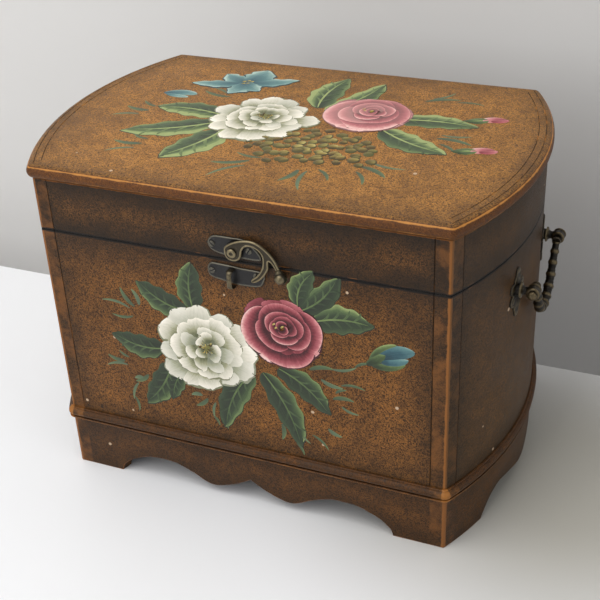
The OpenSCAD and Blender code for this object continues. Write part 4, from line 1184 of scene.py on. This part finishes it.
# The rivet: a shank through the hook, a washer under it and a domed head with a punched centre.
rivet_line = [(0, 0), (1.5, 0), (1.5, 1.2), (3.0, 1.2), (3.0, 2.1), (1.5, 2.15), (1.5, 4.25), (2.7, 4.25),
              (3.05, 4.45), (3.1, 4.7), (2.8, 5.0), (2.2, 5.16), (1.5, 5.2), (1.15, 5.05), (0.95, 4.85),
              (0.5, 4.8), (0, 4.8)]
rivet_ridge = [0, 0.3, 0.3, 0.3, 0.3, 0.3, 0.3, 0.5, 0.7, 1, 1, 1, 0.8, 0.1, 0, 0, 0]
metal_piece("hook_rivet_head", on_wall(turned(rivet_line, rivet_ridge, 40), PIVOT[0], PIVOT[1], 0),
            HOOK_METAL, "lid", ["hook_rivet"])

# The ball on the tip of the hook, and the collar between them, turned about the hook's own run.
BALL_R, TIP_LEAN = 4.0, math.radians(62)
arc = np.radians(np.linspace(-90, 90, 19))
ball_line = np.stack([BALL_R * np.cos(arc), BALL_R * np.sin(arc)], -1)
ball_line[0, 0] = ball_line[-1, 0] = 0
ball = turned(ball_line, 0.15 + 0.4 * (ball_line[:, 1] > 2.0), 36)
collar_line = [(0, -1.7), (1.5, -1.7), (2.1, -1.2), (2.3, 0), (2.1, 1.2), (1.5, 1.7), (0, 1.7)]
verts, faces, ridge = turned(collar_line, 0.45, 24)
along = verts[:, 2] * math.cos(TIP_LEAN) + verts[:, 0] * math.sin(TIP_LEAN)
upward = verts[:, 0] * math.cos(TIP_LEAN) - verts[:, 2] * math.sin(TIP_LEAN)
collar = np.stack([along + PIVOT[0] + 31.9, verts[:, 1] - FRONT - 3.7, upward + PIVOT[1] - 8.8], -1)
metal_piece("latch_ball", gather([on_wall(ball, PIVOT[0] + 33.4, PIVOT[1] - 12.3, HOOK_BACK + 2.0),
                                  (collar, faces, ridge)]), HOOK_METAL, "hook", sharp=50)


def swept(path, widths, across, ridge, steps=16):
    """A rod of oval section along path, closed by flat caps: the half sizes in widths are along
    the direction across and square to it."""
    ahead = np.gradient(path, axis=0)
    ahead /= np.linalg.norm(ahead, axis=1, keepdims=True)
    side = across - (ahead @ across)[:, None] * ahead
    side /= np.linalg.norm(side, axis=1, keepdims=True)
    other = np.cross(ahead, side)
    turn = np.linspace(0, 2 * np.pi, steps, endpoint=False)
    ring = (path[:, None, :] + side[:, None, :] * (widths[:, 0, None] * np.cos(turn))[..., None]
            + other[:, None, :] * (widths[:, 1, None] * np.sin(turn))[..., None])
    return ring.reshape(-1, 3), loop_faces(len(path), steps), np.repeat(ridge, steps)


# The staple: a strap bent out of the lower plate, swelling a little at its front.
OUT, HALF_H, BEND_R = 6.05, 6.15, 2.2
corner = np.radians(np.linspace(0, 90, 9))
upper = np.stack([OUT - BEND_R + BEND_R * np.sin(corner), HALF_H - BEND_R + BEND_R * np.cos(corner)], -1)
line = np.concatenate([[(0.4, HALF_H), (2.0, HALF_H)], upper, [(OUT, 2.0), (OUT, 0.0), (OUT, -2.0)],
                       (upper * [1, -1])[::-1], [(2.0, -HALF_H), (0.4, -HALF_H)]])
path = np.stack([0 * line[:, 0] + STAPLE_AT[0], -FRONT - line[:, 0], line[:, 1] + STAPLE_AT[1]], -1)
share = 1 - np.abs(np.linspace(-1, 1, len(path))) ** 2
widths = np.stack([2.4 - 0.75 * share ** 3, 0.5 + 0.05 * share], -1)
metal_piece("keeper_staple_bent", swept(path, widths, np.array([1.0, 0, 0]), 0.15 + 0.35 * share), HOOK_METAL,
            "case", ["keeper_staple"], 60)

# The end handles: a cast lobed plate behind each post, two posts with an eye and a beaded bail
# that turns in them. The left handle is the right one mirrored, and the rear ends the front ones.
PIVOT_X, PIVOT_Z, POST_Y = END_X / M + 8, SEAM / M - 30, 40.0
ROSE_Y, ROSE_Z, ROSE_T = 39.0, SEAM / M - 32.5, 1.3
LOBES = np.array([(0, 0, 7.5), (6.2, 4.6, 4.2), (-6.2, 4.6, 4.2), (6.2, -4.6, 4.2), (-6.2, -4.6, 4.2),
                  (0, 9.5, 5.2), (0, -9.5, 5.2), (0, 15.3, 3.2), (0, -15.3, 3.2)])
BAIL_LINE = np.array([(0.795, 0.01), (0.715, 0.2), (0.61, 0.4), (0.505, 0.625), (0.365, 0.83),
                      (0.185, 0.955), (0, 1)])
BAIL_DROP = 31.8


def lobed_plate(steps=120):
    """Polar grid of the plate: at each angle the reach is that of the furthest lobe, and the height
    over the wall has a raised rim, a hollow inside it, a boss on each lobe and fine ribs."""
    angle = np.linspace(0, 2 * np.pi, steps, endpoint=False)
    d = np.stack([np.cos(angle), np.sin(angle)], -1)
    b = d @ LOBES[:, :2].T
    inside = b ** 2 - (LOBES[:, :2] ** 2).sum(1) + LOBES[:, 2] ** 2
    far = b + np.sqrt(np.maximum(inside, 0))
    reach = np.where((inside > 0) & (far > 0), far, 0).max(1)
    share = np.array([1.0, 1.0, 0.99, 0.96, 0.92, 0.88, 0.84, 0.79, 0.72, 0.64, 0.55, 0.45, 0.34, 0.22,
                      0.1])[:, None]
    spot = (share * reach)[..., None] * d
    boss = np.exp(-((spot[:, :, None, :] - LOBES[1:, :2]) ** 2).sum(-1) / (0.5 * LOBES[1:, 2]) ** 2).max(-1)
    rim = np.exp(-((share - 0.91) / 0.05) ** 2)
    ribs = 0.5 + 0.5 * np.cos(10 * angle)[None, :]
    height = ROSE_T * (0.55 + 0.3 * rim + 0.3 * boss + 0.12 * ribs * (share < 0.85))
    height = np.minimum(height, ROSE_T * np.sqrt(np.clip(1.02 - share ** 14, 0, 1)) + 0.05)
    height[0] = -0.3
    ridge = np.clip(rim + 0.8 * boss + 0.2 * ribs, 0, 1)
    ridge[0] = 0
    return spot, height, ridge


def plate_part():
    """The lobed plate laid on the bowed end, with its back a little in the board."""
    spot, height, ridge = lobed_plate()
    arc_r = END_R / M
    around = -math.asin(ROSE_Y / arc_r) + spot[..., 0] / arc_r
    ring = np.stack([-ARC_X / M + (arc_r + height) * np.cos(around), (arc_r + height) * np.sin(around),
                     ROSE_Z + spot[..., 1]], -1)
    return ring.reshape(-1, 3), loop_faces(*height.shape), ridge.ravel()


def post_part():
    """A turned flange and neck along X, and an eye turned about Y with a bead round each end."""
    foot = END_X / M - 5.2
    stem = [(0, 0), (3.9, 0), (3.9, 4.4), (5.4, 4.6), (5.4, 5.3), (4.9, 5.8), (3.6, 6.1), (2.9, 7.2),
            (2.6, 8.4), (3.0, 9.6), (3.6, 10.6), (0, 11.4)]
    verts, faces, ridge = turned(stem, [0, 0, 0, 0.6, 0.9, 0.9, 0.5, 0.2, 0.1, 0.3, 0.3, 0])
    neck = (np.stack([verts[:, 2] + foot, verts[:, 1] - POST_Y, -verts[:, 0] + PIVOT_Z], -1), faces, ridge)
    steps = 40
    turn = np.linspace(0, 2 * np.pi, steps, endpoint=False)[:, None]
    loop = np.array([(2.1, -3.9), (3.5, -4.0), (4.3, -3.6), (4.55, -3.0), (4.3, -2.4), (4.0, -1.9), (4.2, 0),
                     (4.0, 1.9), (4.3, 2.4), (4.55, 3.0), (4.3, 3.6), (3.5, 4.0), (2.1, 3.9)])
    eye = np.stack([PIVOT_X + loop[:, 0] * np.cos(turn), -POST_Y + loop[:, 1] + 0 * turn,
                    PIVOT_Z + loop[:, 0] * np.sin(turn)], -1)
    faces = grid_quads(steps, len(loop), round_rows=True)[:, ::-1].tolist()
    ridge = np.tile([0.2, 0.5, 0.9, 1, 0.8, 0.2, 0.45, 0.2, 0.8, 1, 0.9, 0.5, 0.2], steps)
    return gather([neck, (eye.reshape(-1, 3), faces, ridge)])


def bail_part():
    """A rod along the smooth curve through its beads. Its radius grows from 2 at the ends to 2.9 in
    the middle and swells round every bead, with a fine collar on both sides of it. Two pins run
    out to their knobs."""
    half = BAIL_LINE * (POST_Y, -BAIL_DROP) + (0, PIVOT_Z)
    steps = 14
    line = through(np.concatenate([half * (-1, 1), half[-2::-1]]), steps)
    walk = np.concatenate([[0], np.cumsum(np.hypot(*np.diff(line, axis=0).T))])
    at = walk[::steps]
    gap = np.abs(walk[:, None] - at[None, :])
    swell = np.where(np.arange(len(at)) == len(at) // 2, 1.05, 0.95)
    bead = (swell * np.exp(-(gap / 1.7) ** 2)).max(1)
    collar = 0.28 * np.exp(-((gap - 3.0) / 0.45) ** 2).max(1)
    radius = 2.0 + 0.9 * np.sin(np.pi * walk / walk[-1]) + bead + collar
    radius[0] = radius[-1] = 2.2
    path = np.stack([np.full(len(line), PIVOT_X), line[:, 0], line[:, 1]], -1)
    parts = [swept(path, np.stack([radius, radius], -1), np.array([1.0, 0, 0]),
                   np.clip((bead + collar) / 1.1, 0, 1), 20)]
    pin = [(0, 31.0), (2.9, 31.0), (3.1, 32.2), (2.2, 33.0), (1.95, 34.0), (1.95, 44.5), (2.6, 44.5),
           (3.0, 44.9), (3.0, 45.9), (2.4, 46.6), (1.2, 46.9), (0, 46.9)]
    verts, faces, ridge = turned(pin, [0, 0.5, 0.6, 0.3, 0.1, 0.1, 0.6, 0.9, 1, 0.9, 0.6, 0.5], 28)
    for way in (-1, 1):
        placed = np.stack([verts[:, 0] + PIVOT_X, way * verts[:, 2], -way * verts[:, 1] + PIVOT_Z], -1)
        parts.append((placed, faces, ridge))
    return gather(parts)


def handle_piece(name, part, sx, sy, body, node, sharp=45):
    """A part drawn at the right front, placed at its corner by the signs of x and y."""
    verts, faces, ridge = part
    if sx * sy < 0:
        faces = [face[::-1] for face in faces]
    metal_piece(name, (verts * np.array([sx, sy, 1.0]), faces, ridge), BRONZE, body, [node],
                sharp)


for sx, end in ((1, "right"), (-1, "left")):
    for sy, row in ((1, "front"), (-1, "rear")):
        handle_piece(f"{end}_{row}_rosette_cast", plate_part(), sx, sy, "case", f"{end}_{row}_rosette")
        handle_piece(f"{end}_{row}_post_turned", post_part(), sx, sy, "case", f"{end}_{row}_post")
    handle_piece(f"{end}_bail_cast", bail_part(), sx, 1, f"{end}_handle", f"{end}_bail", sharp=60)

# The hinges on the back: folded brass leaves and pins keep their true shape and get dulled brass.
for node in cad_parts:
    if "hinge" in node and "screws" not in node:
        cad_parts[node].data.materials.clear()
        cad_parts[node].data.materials.append(HINGE_METAL)
